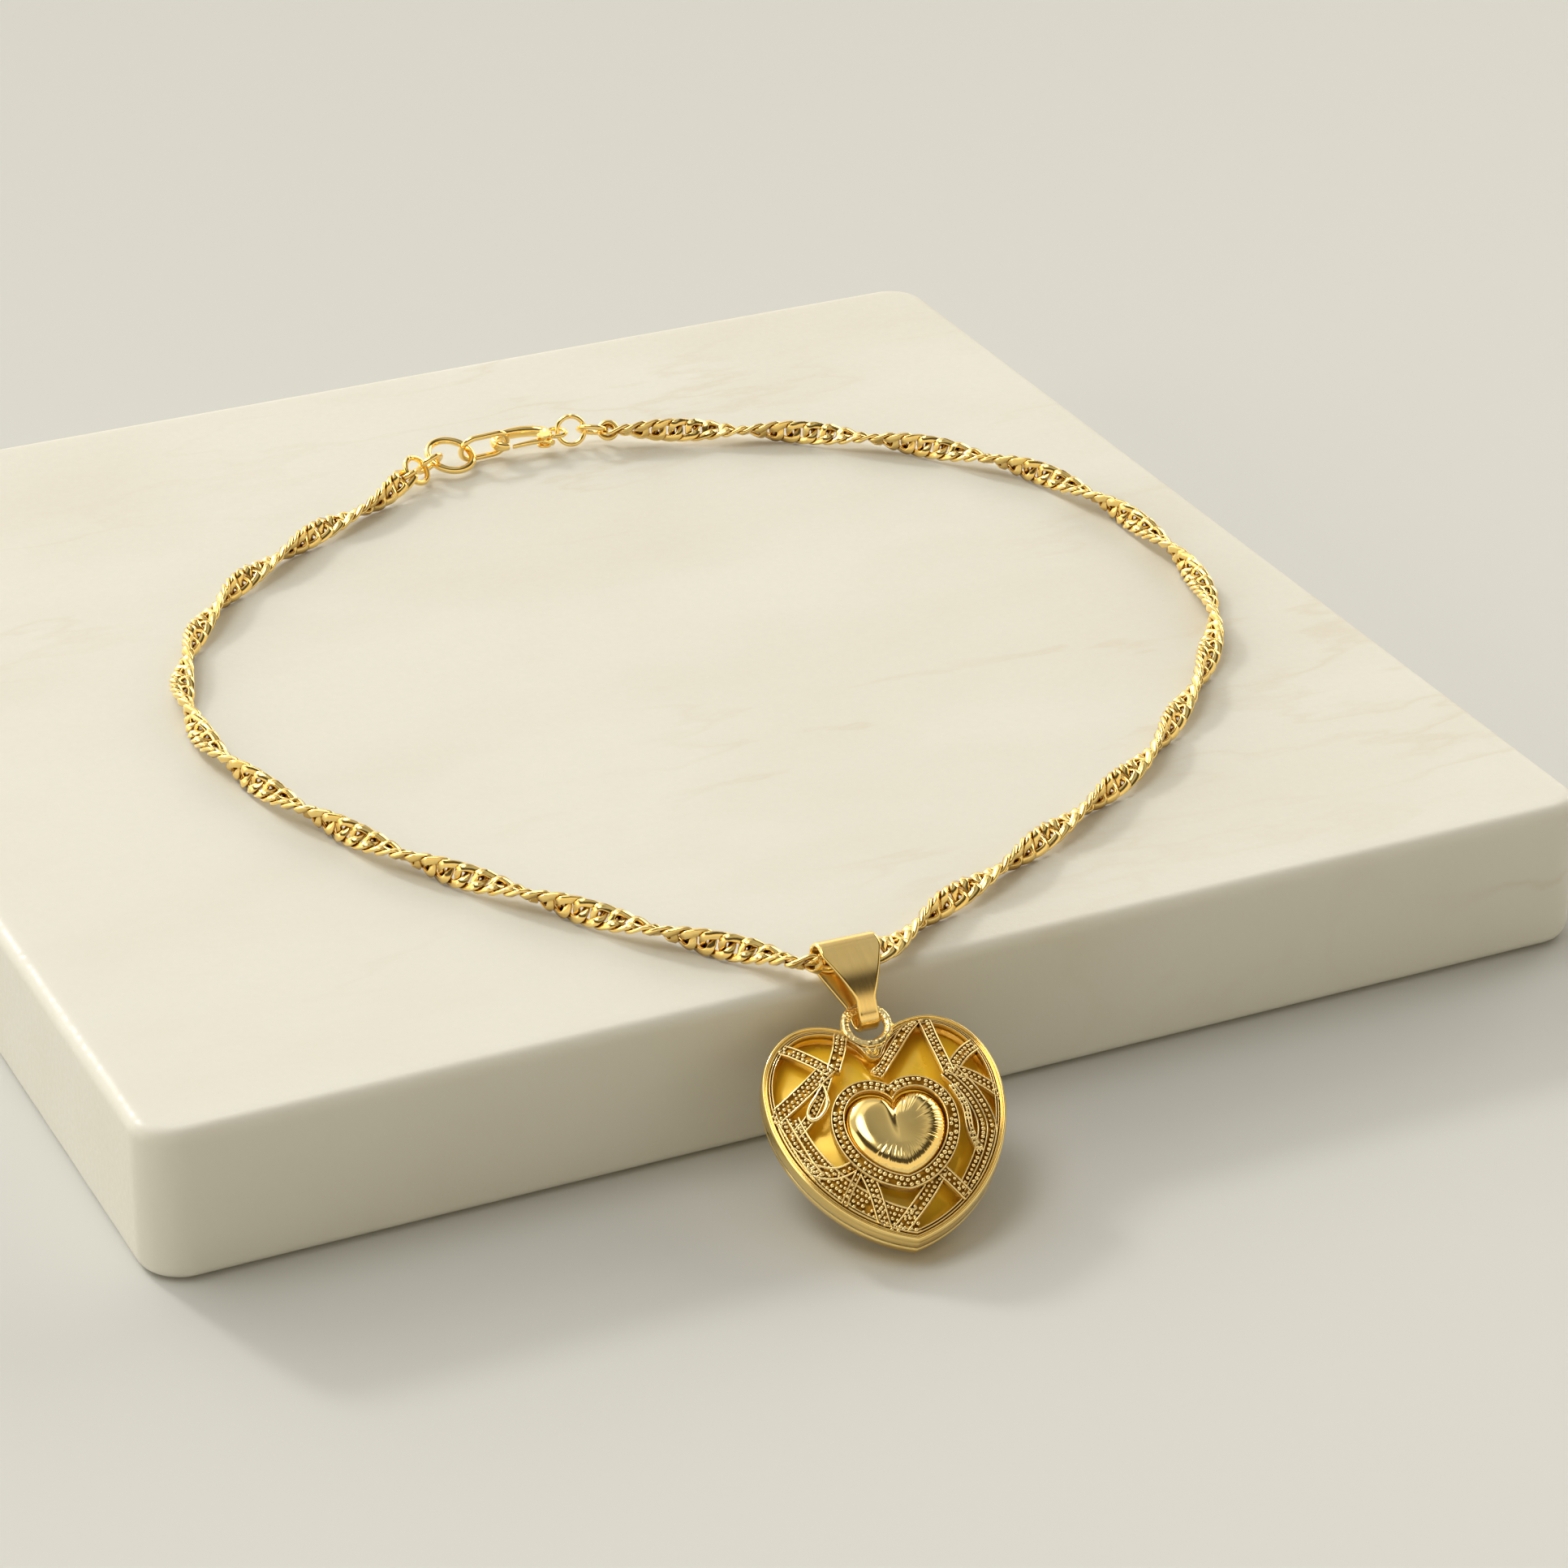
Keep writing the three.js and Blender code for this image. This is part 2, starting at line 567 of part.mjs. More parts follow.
function caseGeometry() {
  const backAt = (share) => -CASE_DEPTH - BACK_RISE * crown(share);
  const floorAt = (share) => backAt(share) + CASE_BACK;
  const back = inset(caseOutline, wallDraft);
  const floor = inset(caseOutline, wallDraft + CASE_WALL);
  const inner = inset(caseOutline, CASE_WALL);
  const rings = [
    ...domeShares.map((share) => raised(scaled(back, share, HEART_CENTRE), backAt(share))),
    ...[...WALL_FOOT].reverse().map(([distance, height]) => raised(inset(caseOutline, distance), height)),
    raised(caseOutline, SEAM_HEIGHT - SEAM_DEPTH),
    raised(inset(caseOutline, SEAM_DEPTH), SEAM_HEIGHT),
    raised(caseOutline, SEAM_HEIGHT + SEAM_DEPTH),
    raised(caseOutline, 0),
    raised(inset(caseOutline, RIM_ROUND), RIM_HEIGHT),
    raised(inset(caseOutline, CASE_WALL - RIM_ROUND), RIM_HEIGHT),
    raised(inner, 0),
    raised(inner, WALL_FOOT[0][1]),
    raised(floor, floorAt(1)),
    ...[...domeShares].reverse().map((share) => (
      raised(scaled(floor, share, HEART_CENTRE), floorAt(share))
    )),
  ];
  const bowl = toSolid(loft(rings, middlePoint(backAt(0)), middlePoint(floorAt(0))));
  const inside = prism(inner, -HANGER_WIRE, RIM_HEIGHT + HANGER_WIRE);
  return toGeometry(bowl.add(hangerSolid().subtract(inside)));
}

// Filigree: ribbons, borders and rim band, as wide as they are and as high as the dome

const frontOutline = inset(caseOutline, CASE_WALL + SEAT_GAP);
const centreOutline = heartOutline(CENTRE_WIDTH, CENTRE_HEIGHT, CENTRE_NOTCH, CENTRE_FOOT, 16);

function domeTop(share) {
  return FRONT_RISE * crown(share);
}

// Closed sheet over an outline, from one height to another at each share of the way out
function domeSheet(outline, top, bottom) {
  const shares = [0.25, 0.45, 0.65, 0.82, 0.94, 1];
  const layer = (height) => shares.map((share) => (
    raised(scaled(outline, share, HEART_CENTRE), height(share))
  ));
  const rings = [...layer(bottom), ...layer(top).reverse()];
  return toSolid(loft(rings, middlePoint(bottom(0)), middlePoint(top(0))));
}

function ribbonStrip({ width, line }) {
  const points = line.map(([x, y]) => new THREE.Vector3(x * HEART_WIDTH / 2, y * HEART_HEIGHT, 0));
  const curve = new THREE.CatmullRomCurve3(points);
  const left = [];
  const right = [];
  for (let i = 0; i <= RIBBON_STEPS; i += 1) {
    const at = curve.getPoint(i / RIBBON_STEPS);
    const along = curve.getTangent(i / RIBBON_STEPS);
    left.push([at.x - along.y * width / 2, at.y + along.x * width / 2]);
    right.push([at.x + along.y * width / 2, at.y - along.x * width / 2]);
  }
  return tall([...left, ...right.reverse()]);
}

// Prism over an outline that passes right through the dome, to be cut to it
function tall(points) {
  return prism(points, -CASE_DEPTH, 2 * FRONT_RISE);
}

function band(outer, inner) {
  return tall(outer).subtract(prism(inner, -CASE_DEPTH - CUT_MARGIN, 2 * FRONT_RISE + CUT_MARGIN));
}

function lowerBand() {
  const right = (LOWER_BAND_ENDS.tip * HEART_WIDTH) / 2;
  const area = [
    [-HEART_WIDTH, -CUT_MARGIN],
    [right, -CUT_MARGIN],
    [right, LOWER_BAND_ENDS.middle * HEART_HEIGHT],
    [-HEART_WIDTH / 2, LOWER_BAND_ENDS.side * HEART_HEIGHT],
    [-HEART_WIDTH, LOWER_BAND_ENDS.side * HEART_HEIGHT],
  ];
  return band(frontOutline, cutLine(frontOutline, LOWER_BAND)).intersect(tall(area));
}

function filigreeGeometry() {
  const under = (share) => domeTop(share) - FRONT_SHEET;
  const sheet = domeSheet(frontOutline, domeTop, under);
  const raisedSheet = domeSheet(frontOutline, (share) => domeTop(share) + BORDER_RAISE, under);
  const seat = cutLine(centreOutline, -SEAT_GAP);
  const border = band(cutLine(seat, -BORDER_BAND), seat);
  const rim = band(frontOutline, cutLine(frontOutline, RIM_BAND));
  const ribbons = RIBBONS.map(ribbonStrip);
  const flat = joined([...ribbons, rim, lowerBand(), border]).intersect(sheet)
    .subtract(prism(seat, -CASE_DEPTH, 3 * FRONT_RISE));
  return toGeometry(flat.add(border.intersect(raisedSheet)));
}

// Polished plate that shows through the filigree's gaps

function plateGeometry() {
  const top = (share) => domeTop(share) - FRONT_SHEET - PLATE_DROP;
  return toGeometry(domeSheet(frontOutline, top, (share) => top(share) - PLATE_SHEET));
}

// Polished heart at the filigree's middle, crowned with a hollow running down from its notch

function centreGeometry() {
  const middle = CENTRE_FOOT + CENTRE_HEIGHT / 2;
  const base = domeTop(CENTRE_SEAT) - FRONT_SHEET;
  const shares = [1, 0.96, 0.86, 0.7, 0.5, 0.28];
  const rise = (share) => base + FRONT_SHEET + CENTRE_RISE * (1 - share ** 3);
  const above = shares.map((share) => raised(scaled(centreOutline, share, middle), rise(share)));
  const hollow = inset(centreOutline, CENTRE_SHEET);
  const under = [0.28, 0.5, 0.7, 0.9].map((share) => (
    raised(scaled(hollow, share, middle), rise(share) - CENTRE_SHEET)
  ));
  const foot = [raised(hollow, base), raised(centreOutline, base)];
  return loft([...under, ...foot, ...above], [0, middle, rise(0) - CENTRE_SHEET], [0, middle, rise(0)]);
}

// Clasp, flat in the XY plane with its nose at x = 0 and its middle line on y = 0

const headMiddle = CLASP_HEAD / 2;
const eyeX = CLASP_LENGTH - CLASP_EYE;
const pinX = PIN_FROM_NOSE;
const pinY = -PIN_OFF_MIDDLE;
const gateLeft = CLASP_BAR + HOOK_TIP;

function plate(points, thick) {
  return prism(points, -thick / 2, thick / 2);
}

function disc(x, y, radius, sides, thick) {
  return plate(ellipsePoints(x, y, radius, radius, sides), thick);
}

function boxBetween([left, low], [right, high], thick) {
  return plate([[left, low], [right, low], [right, high], [left, high]], thick);
}

function claspBodyGeometry() {
  const cut = 2 * CLASP_THICK;
  const head = plate(ellipsePoints(headMiddle, 0, headMiddle, CLASP_WIDTH / 2, 28), CLASP_THICK);
  const neckX = CLASP_HEAD - NECK_OVERLAP;
  const neck = plate([
    [neckX, -NECK_FRONT / 2],
    [eyeX, -NECK_BACK / 2],
    [eyeX, NECK_BACK / 2],
    [neckX, NECK_FRONT / 2],
  ], CLASP_EYE_THICK);
  const eye = disc(eyeX, 0, CLASP_EYE, 16, CLASP_EYE_THICK);
  const hole = disc(eyeX, 0, CLASP_EYE_HOLE, 12, cut);
  const throat = plate(
    ellipsePoints(headMiddle, 0, headMiddle - CLASP_BAR, CLASP_WIDTH / 2 - CLASP_BAR, 24),
    cut,
  );
  const gate = boxBetween([gateLeft, -CLASP_WIDTH], [pinX - GATE_BEFORE_PIN, 0], cut);
  const ears = disc(pinX, pinY, EAR_RADIUS, 14, CLASP_THICK);
  const pin = disc(pinX, pinY, PIN_RADIUS, 10, CLASP_THICK);
  const slot = boxBetween(
    [pinX - SLOT_BEFORE_PIN, -CLASP_WIDTH],
    [pinX + CLASP_HEAD, pinY + SLOT_INSIDE_PIN],
    LEVER_THICK + 2 * LEVER_GAP,
  ).intersect(disc(pinX, pinY, LEVER_TAIL + 2 * LEVER_GAP, 20, cut));
  const body = joined([head, neck, eye]).subtract(throat).subtract(hole).subtract(gate);
  return toGeometry(body.add(ears).subtract(slot).add(pin));
}

// Lever: a bar from its tip behind the hook to the pin, and a thumb piece past the pin
function claspLeverGeometry() {
  const tipX = gateLeft + LEVER_GAP;
  const half = LEVER_WIDTH / 2;
  const bar = plate([
    [tipX, pinY - LEVER_TIP_WIDTH / 2],
    [tipX, pinY - half],
    [pinX, pinY - half],
    [pinX, pinY + half],
    [tipX + LEVER_WIDTH, pinY + half],
  ], LEVER_THICK);
  const knuckle = disc(pinX, pinY, half + PIN_PLAY, 14, LEVER_THICK);
  const thumb = [-100, -70, -40, -20].map((degrees) => [
    pinX + LEVER_TAIL * Math.cos(degrees * DEG),
    pinY + LEVER_TAIL * Math.sin(degrees * DEG),
  ]);
  const tail = plate([[pinX - half, pinY], ...thumb, [pinX, pinY + half]], LEVER_THICK);
  const hole = disc(pinX, pinY, PIN_RADIUS + PIN_PLAY, 10, 2 * LEVER_THICK);
  return toGeometry(joined([bar, knuckle, tail]).subtract(hole));
}

// Assembly

function part(name, geometry, material) {
  const mesh = new THREE.Mesh(geometry, material);
  mesh.name = name;
  return mesh;
}

const group = new THREE.Group();
group.add(part("display_slab", slabGeometry(), marble));
group.add(part("chain", chainGeometry(), goldChain));

for (const ring of [...leftRings, ...rightRings]) {
  const geometry = wireRing(ring.radius, ring.straight, ring.wire);
  group.add(part(ring.name, tiltedMesh(geometry, ring.centre, ring.heading, ring.tilt), goldPolished));
}

const clasp = new THREE.Group();
clasp.position.copy(claspNose);
clasp.rotation.z = CLASP_HEADING * DEG;
clasp.add(part("clasp_body", claspBodyGeometry(), goldPolished));
clasp.add(part("clasp_lever", claspLeverGeometry(), goldPolished));
group.add(clasp);

const bailGroup = leaningGroup(hangerTop, BAIL_HEADING, bailSlope);
bailGroup.add(part("bail", bailGeometry(), goldPolished));
group.add(bailGroup);

const pendant = leaningGroup(heartTip, HEART_HEADING, heartSlope);
pendant.add(part("heart_case", caseGeometry(), goldPolished));
pendant.add(part("heart_plate", plateGeometry(), goldDeep));
pendant.add(part("filigree_front", filigreeGeometry(), goldBeaded));
pendant.add(part("center_heart", centreGeometry(), goldPolished));
group.add(pendant);

export default group;
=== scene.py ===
"""A heart pendant necklace laid in a loop on its stone display slab.

Every mesh is worked out in millimetres, in the frame of the piece it belongs to, and is scaled to
metres when it becomes an object.
"""

import json
import math
import random

import bmesh
import bpy
import numpy as np
from mathutils import Matrix, Vector, noise


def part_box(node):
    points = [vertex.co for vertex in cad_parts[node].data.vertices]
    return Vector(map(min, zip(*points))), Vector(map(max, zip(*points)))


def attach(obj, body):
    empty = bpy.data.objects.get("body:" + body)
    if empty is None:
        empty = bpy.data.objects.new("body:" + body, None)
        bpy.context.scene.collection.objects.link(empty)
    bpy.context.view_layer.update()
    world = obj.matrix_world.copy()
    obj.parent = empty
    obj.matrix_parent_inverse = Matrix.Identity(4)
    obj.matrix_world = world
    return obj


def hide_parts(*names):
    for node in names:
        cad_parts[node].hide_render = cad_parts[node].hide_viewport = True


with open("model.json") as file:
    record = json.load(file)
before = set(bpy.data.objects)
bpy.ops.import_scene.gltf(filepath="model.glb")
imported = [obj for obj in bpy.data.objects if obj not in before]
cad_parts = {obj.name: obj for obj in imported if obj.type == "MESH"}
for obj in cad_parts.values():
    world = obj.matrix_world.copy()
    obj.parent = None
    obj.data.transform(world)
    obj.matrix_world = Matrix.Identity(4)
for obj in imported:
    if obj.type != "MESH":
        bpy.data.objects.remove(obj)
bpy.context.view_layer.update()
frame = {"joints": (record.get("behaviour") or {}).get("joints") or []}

MM = 0.001

# Camera: where it stands in mm, its angles in degrees and its focal length on a 36 mm sensor
CAMERA_PLACE = (-210.98, -499.26, 279.86)
CAMERA_ANGLES = (62.538, 0, -25.354)
CAMERA_LENS = 116.45

# Chain: half length and half width of a link's middle line, the power that squares it below 1, the
# rise of its twist, half the width and thickness of its flat wire, the links' spacing, and the
# length in which the chain turns over once
LINK_HALF_LENGTH = 1.62
LINK_HALF_WIDTH = 1.02
LINK_SQUARENESS = 0.88
LINK_TWIST = -0.6
LINK_WIRE = (0.44, 0.2)
LINK_WIRE_ROUND = 0.07
LINK_PITCH = 2.17
CHAIN_HALF_TURN = 16.4
CHAIN_TURN_START = 3.3
LINK_STATIONS = 32

# Chain route, as in the frame: x and y of its middle line on the slab, from the left end to the
# bail and from the bail to the right end
LEFT_ROUTE = [
    (-9.5, 45), (-18.3, 40.3), (-27.4, 34.2), (-34.4, 28.6), (-39.7, 22.6), (-45, 14.6),
    (-49, 5), (-50.7, -5), (-50.2, -15), (-47.6, -26), (-43.6, -37), (-38.6, -47.3),
    (-32.9, -55.8), (-27, -64.7), (-20.8, -72.8), (-15.2, -79.2),
]
RIGHT_ROUTE = [
    (-0.1, -82.8), (5, -79.4), (11, -76.3), (17.6, -73), (24.5, -69.2), (31.6, -65), (39.8, -60),
    (47.4, -53.8), (54.6, -46.6), (61.6, -39), (67.4, -30.6), (71.2, -21.8), (73.1, -12),
    (73.4, -2), (72.2, 8), (69.4, 17.6), (64.4, 26), (57.6, 33.8), (50.2, 40.2), (42.6, 45),
]
LEFT_EYE = (-3.4, 49.4)
BAIL_STRAIGHT = 4.2
STRAIGHT_SHARES = (-1, -0.6, 0, 0.6, 1)
CHAIN_HEIGHT = 1.58

# Clasp run: each ring's radius, straight, wire, heading and tilt, as in the frame
RINGS = {
    "jump_ring_left_1": (1.75, 0, 0.7, 35, 50),
    "jump_ring_left_2": (1.75, 0, 0.7, 25, -50),
    "end_ring": (2.9, 0, 0.95, 16, 20),
    "oval_link": (1.75, 3, 0.75, 4, -70),
    "jump_ring_right_1": (1.8, 0, 0.6, -12, 68),
    "jump_ring_right_2": (1.8, 0, 0.65, -30, -35),
}
EYE_RING = (1.1, 0, 0.65)
LEFT_EYE_TILT = 40
RIGHT_EYE_TILT = 45
RIGHT_EYE_HEADING = -28
LINK_GAP = 0.22
RING_SLIT = 0.06

# Clasp
PIN_PLACE = (6.8, -1.5)
CLASP_HEAD = 8.4
CLASP_WIDTH = 5.6
CLASP_THICK = 1.6
CLASP_BAR = 1.15
CLASP_LENGTH = 10.6
CLASP_EYE = 1.5
CLASP_EYE_HOLE = 0.9
CLASP_VOXEL = 0.075
HOOK_START = -52
HOOK_SWEEP = 284
LEVER_THICK = 0.8
LEVER_TAIL = 1.88
LEVER_TIP_DROP = 0.38
THUMB_ANGLE = math.radians(-62)

# Bail
BAIL_WALL = 0.42
BAIL_TOP_RADIUS = 1.65
BAIL_FOOT_RADIUS = 1.15
BAIL_FOOT_DROP = 0.9
BAIL_TOP_WIDTH = 6.7
BAIL_FOOT_WIDTH = 2.2
BAIL_FOOT_STRAIGHT = 0.5
BAIL_EDGE = 0.16
BAIL_STEP = 0.35
BAIL_SWELL = 0.6

# Pendant
HEART_WIDTH = 25.2
HEART_HEIGHT = 26.8
HEART_NOTCH = 3.8
HEART_MIDDLE = 13.5
HANGER_STAND = 5.5
HANGER_REACH = HEART_HEIGHT - HEART_NOTCH + HANGER_STAND
HANGER_RADIUS = 2.3
HANGER_WIRE = 1.1
CASE_DEPTH = 4.1
CASE_DRAFT = 1.4
BACK_RISE = 1.2
FRONT_SEAT = 0.76
PLATE_SEAT = 0.9
FRONT_RISE = 2.8
FRONT_SHEET = 0.7
PLATE_DROP = 0.95
PLATE_SHEET = 0.5
CENTRE_WIDTH = 10.4
CENTRE_HEIGHT = 9.9
CENTRE_NOTCH = 1.6
CENTRE_FOOT = 6.4
CENTRE_SEAT = 0.45
CENTRE_RISE = 1.3
SEAT_GAP = 0.08
BORDER_BAND = 1.37
BORDER_RAISE = 0.45
RIM_BAND = 0.42
LOWER_BAND = 2.3
RAIL_WIDTH = 0.22
BORDER_RAIL = 0.17
RAIL_HEIGHT = 0.2
TROUGH_DEPTH = 0.13
GRAIN_RADIUS = 0.23
BORDER_GRAIN = 0.27

# Ribbons of the filigree: width, rails across, and the middle line as shares of the heart's half
# width and of its height
RIBBONS = [
    (1.4, 2, [(-0.86, 0.94), (-0.72, 0.9), (-0.58, 0.83), (-0.42, 0.74)]),
    (1.5, 2, [(-0.22, 0.98), (-0.28, 0.88), (-0.4, 0.74)]),
    (1.9, 2, [(-0.44, 0.76), (-0.6, 0.7), (-0.79, 0.64), (-0.99, 0.59)]),
    (1.4, 2, [(0.48, 1.02), (0.31, 0.93), (0.14, 0.82), (-0.06, 0.7)]),
    (1.4, 2, [(0.48, 1.02), (0.49, 0.86), (0.54, 0.68)]),
    (1.5, 2, [(0.94, 0.87), (0.73, 0.79), (0.54, 0.68)]),
    (1.5, 2, [(0.54, 0.7), (0.75, 0.67), (1.02, 0.59)]),
    (2.3, 3, [(0.54, 0.69), (0.7, 0.58), (0.77, 0.46), (0.7, 0.34), (0.48, 0.17)]),
    (0.9, 3, [(0.54, 0.62), (0.61, 0.52), (0.61, 0.42), (0.66, 0.34)]),
    (1.4, 2, [(0.24, 0.28), (0.39, 0.21), (0.54, 0.14)]),
    (1.5, 2, [(0.3, 0.27), (0.15, 0.18), (-0.04, 0.09), (-0.2, 0.03)]),
    (1.3, 2, [(-0.32, 0.33), (-0.54, 0.31), (-0.72, 0.35), (-0.88, 0.45)]),
    (1.1, 2, [(-0.88, 0.58), (-0.82, 0.48), (-0.75, 0.38), (-0.68, 0.31)]),
    (1.3, 2, [(-0.36, 0.33), (-0.29, 0.22), (-0.24, 0.06)]),
    (0.8, 2, [(-0.38, 0.29), (-0.49, 0.22), (-0.6, 0.14)]),
    (1.2, 2, [(-0.46, 0.72), (-0.56, 0.63), (-0.68, 0.55), (-0.82, 0.5)]),
]

# Leaf that curls over the left ribbon: its wire and its loop in mm from the heart's tip
LEAF_WIRE = 0.46
LEAF_LOOP = [
    (-6.5, 18.3), (-6.4, 17.1), (-6.45, 16.0), (-6.95, 15.1), (-7.7, 14.5), (-8.4, 14.6),
    (-8.6, 15.3), (-8.15, 16.2), (-7.5, 17.0), (-6.9, 17.8),
]

# Slab
SLAB_EDGE = 1.6
SLAB_CORNER = 5
SLAB_WEAR = 0.12


# Places in the frame, in mm


def joint_named(name):
    return next(j for j in frame["joints"] if j["name"] == name)


def in_mm(place):
    return Vector(place) / MM


chain_at_bail = in_mm(joint_named("bail_swing")["pos_m"])
hanger_top = in_mm(joint_named("heart_swing")["pos_m"])
clasp_pin = in_mm(joint_named("clasp_lever_turn")["pos_m"])
bail_across = -Vector(joint_named("bail_swing")["axis"]).normalized()
heart_across = -Vector(joint_named("heart_swing")["axis"]).normalized()
upward = Vector((0, 0, 1))
slab_low, slab_high = (in_mm(corner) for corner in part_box("display_slab"))
chain_height = slab_high.z + CHAIN_HEIGHT


def placed(origin, x_axis, y_axis):
    """Matrix of a frame at a point, from two of its axes."""
    z_axis = x_axis.cross(y_axis)
    turn = Matrix((x_axis, y_axis, z_axis)).transposed().to_4x4()
    return Matrix.Translation(origin) @ turn


bail_place = placed(hanger_top, bail_across, (chain_at_bail - hanger_top).normalized())
bail_length = (chain_at_bail - hanger_top).length
clasp_place = Matrix.Translation(clasp_pin - Vector((*PIN_PLACE, 0)))


# Mesh helpers


def new_object(name, shape, place, materials, body, replaced=()):
    """An object from a shape in mm, placed, smooth and riding on a body."""
    mesh = bpy.data.meshes.new(name)
    mesh.from_pydata([tuple(v) for v in shape.vertices], [], shape.faces)
    mesh.transform(Matrix.Scale(MM, 4) @ place)
    piece = finished(name, mesh, materials, body, replaced)
    mesh.polygons.foreach_set("material_index", shape.tags)
    return piece


def finished(name, mesh, materials, body, replaced):
    for material in materials:
        mesh.materials.append(material)
    mesh.polygons.foreach_set("use_smooth", [True] * len(mesh.polygons))
    mesh.update()
    piece = bpy.data.objects.new(name, mesh)
    bpy.context.scene.collection.objects.link(piece)
    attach(piece, body)
    if replaced:
        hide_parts(*replaced)
    return piece


class Shape:
    """Vertices, faces and the faces' material numbers of closed forms that end up in one mesh."""

    def __init__(self):
        self.vertices = []
        self.faces = []
        self.tags = []

    def add(self, vertices, faces, tags=()):
        start = len(self.vertices)
        self.vertices.extend(vertices)
        self.faces.extend([[start + i for i in face] for face in faces])
        self.tags.extend(tags if len(tags) else [0] * len(faces))

    def add_rings(self, rings, closed, tags=()):
        """Skin over rings of points with equal counts, joined end to end or capped. The tags go
        round a ring."""
        count = len(rings[0])
        total = len(rings)
        tags = list(tags) or [0] * count
        faces = []
        for s in range(total if closed else total - 1):
            after = (s + 1) % total
            for k in range(count):
                right = (k + 1) % count
                here, there = s * count, after * count
                faces.append((here + k, here + right, there + right, there + k))
        around = tags * (total if closed else total - 1)
        if not closed:
            faces.append(tuple(reversed(range(count))))
            faces.append(tuple((total - 1) * count + k for k in range(count)))
            around += [0, 0]
        self.add([p for ring in rings for p in ring], faces, around)


def catmull_rom(points, spacing):
    """Points about evenly spaced along a smooth curve through the given points."""
    points = [np.array(p, float) for p in points]
    ends = [2 * points[0] - points[1], *points, 2 * points[-1] - points[-2]]
    out = []
    for p0, p1, p2, p3 in zip(ends, ends[1:], ends[2:], ends[3:]):
        t01 = math.sqrt(np.linalg.norm(p1 - p0))
        t12 = math.sqrt(np.linalg.norm(p2 - p1))
        t23 = math.sqrt(np.linalg.norm(p3 - p2))
        m1 = p2 - p1 + t12 * ((p1 - p0) / t01 - (p2 - p0) / (t01 + t12))
        m2 = p2 - p1 + t12 * ((p3 - p2) / t23 - (p3 - p1) / (t12 + t23))
        steps = max(2, int(np.linalg.norm(p2 - p1) / spacing * 4))
        for i in range(steps):
            t = i / steps
            bend = (2 * (p1 - p2) + m1 + m2) * t**3 + (3 * (p2 - p1) - 2 * m1 - m2) * t**2
            out.append(bend + m1 * t + p1)
    out.append(points[-1])
    return evenly(np.array(out), spacing)


def evenly(points, spacing, closed=False):
    if closed:
        points = np.vstack([points, points[:1]])
    along = np.concatenate([[0], np.cumsum(np.linalg.norm(np.diff(points, axis=0), axis=1))])
    count = max(2, round(along[-1] / spacing))
    at = np.linspace(0, along[-1], count + 1)
    even = np.stack([np.interp(at, along, points[:, k]) for k in range(points.shape[1])], axis=1)
    return even[:-1] if closed else even


def ball(radius, subdivisions=1):
    """Vertices and faces of a ball, made once and repeated."""
    mesh = bmesh.new()
    bmesh.ops.create_icosphere(mesh, subdivisions=subdivisions, radius=radius)
    vertices = np.array([v.co for v in mesh.verts])
    faces = [[v.index for v in f.verts] for f in mesh.faces]
    mesh.free()
    return vertices, faces


# Materials


def new_material(name):
    material = bpy.data.materials.new(name)
    material.use_nodes = True
    tree = material.node_tree
    shader = next(n for n in tree.nodes if n.type == "BSDF_PRINCIPLED")
    return material, tree, shader


def node(tree, kind, **settings):
    made = tree.nodes.new(kind)
    for key, value in settings.items():
        if key in made.inputs:
            made.inputs[key].default_value = value
        else:
            setattr(made, key, value)
    return made


def object_noise(tree, scale, detail=4, stretch=(1, 1, 1)):
    """Noise in the object's own space, with about scale cells in each metre."""
    place = node(tree, "ShaderNodeTexCoord")
    mapping = node(tree, "ShaderNodeMapping")
    mapping.inputs["Scale"].default_value = stretch
    pattern = node(tree, "ShaderNodeTexNoise", Scale=scale, Detail=detail)
    tree.links.new(place.outputs["Object"], mapping.inputs["Vector"])
    tree.links.new(mapping.outputs["Vector"], pattern.inputs["Vector"])
    return pattern.outputs["Fac"]


def in_range(tree, value, low, high, start=0.3, end=0.7):
    made = node(tree, "ShaderNodeMapRange")
    for name, bound in (("From Min", start), ("From Max", end), ("To Min", low), ("To Max", high)):
        made.inputs[name].default_value = bound
    tree.links.new(value, made.inputs["Value"])
    return made.outputs["Result"]


def mixed(tree, share, first, second):
    made = node(tree, "ShaderNodeMix", data_type="RGBA")
    for socket, value in ((6, first), (7, second)):
        if isinstance(value, tuple):
            made.inputs[socket].default_value = (*value, 1)
        else:
            tree.links.new(value, made.inputs[socket])
    tree.links.new(share, made.inputs[0])
    return made.outputs[2]


def bumped(tree, shader, height, distance, strength=1.0):
    made = node(tree, "ShaderNodeBump", Strength=strength, Distance=distance)
    tree.links.new(height, made.inputs["Height"])
    tree.links.new(made.outputs["Normal"], shader.inputs["Normal"])


def gold(name, light, dark, roughness, grain, depth, shade_reach=0.0, stretch=(1, 1, 1), metallic=1.0):
    """Gold plate: a base colour with painted shade that darkens it towards dark brown in hollows, and
    a fine surface grain.
    """
    material, tree, shader = new_material(name)
    shader.inputs["Metallic"].default_value = metallic
    patches = in_range(tree, object_noise(tree, 260), 0.0, 0.35)
    colour = mixed(tree, patches, light, dark)
    # Painted shade: where the occlusion node finds hollows, the colour is mixed towards a dark brown
    if shade_reach:
        shade_occlusion = node(tree, "ShaderNodeAmbientOcclusion", samples=8, Distance=shade_reach)
        shade = in_range(tree, shade_occlusion.outputs["AO"], 1.0, 0.0, 0.2, 0.8)
        colour = mixed(tree, shade, colour, PAINTED_SHADE_GOLD)
    tree.links.new(colour, shader.inputs["Base Color"])
    surface = object_noise(tree, grain, 3, stretch)
    tree.links.new(in_range(tree, surface, roughness[0], roughness[1]), shader.inputs["Roughness"])
    bumped(tree, shader, surface, depth)
    return material


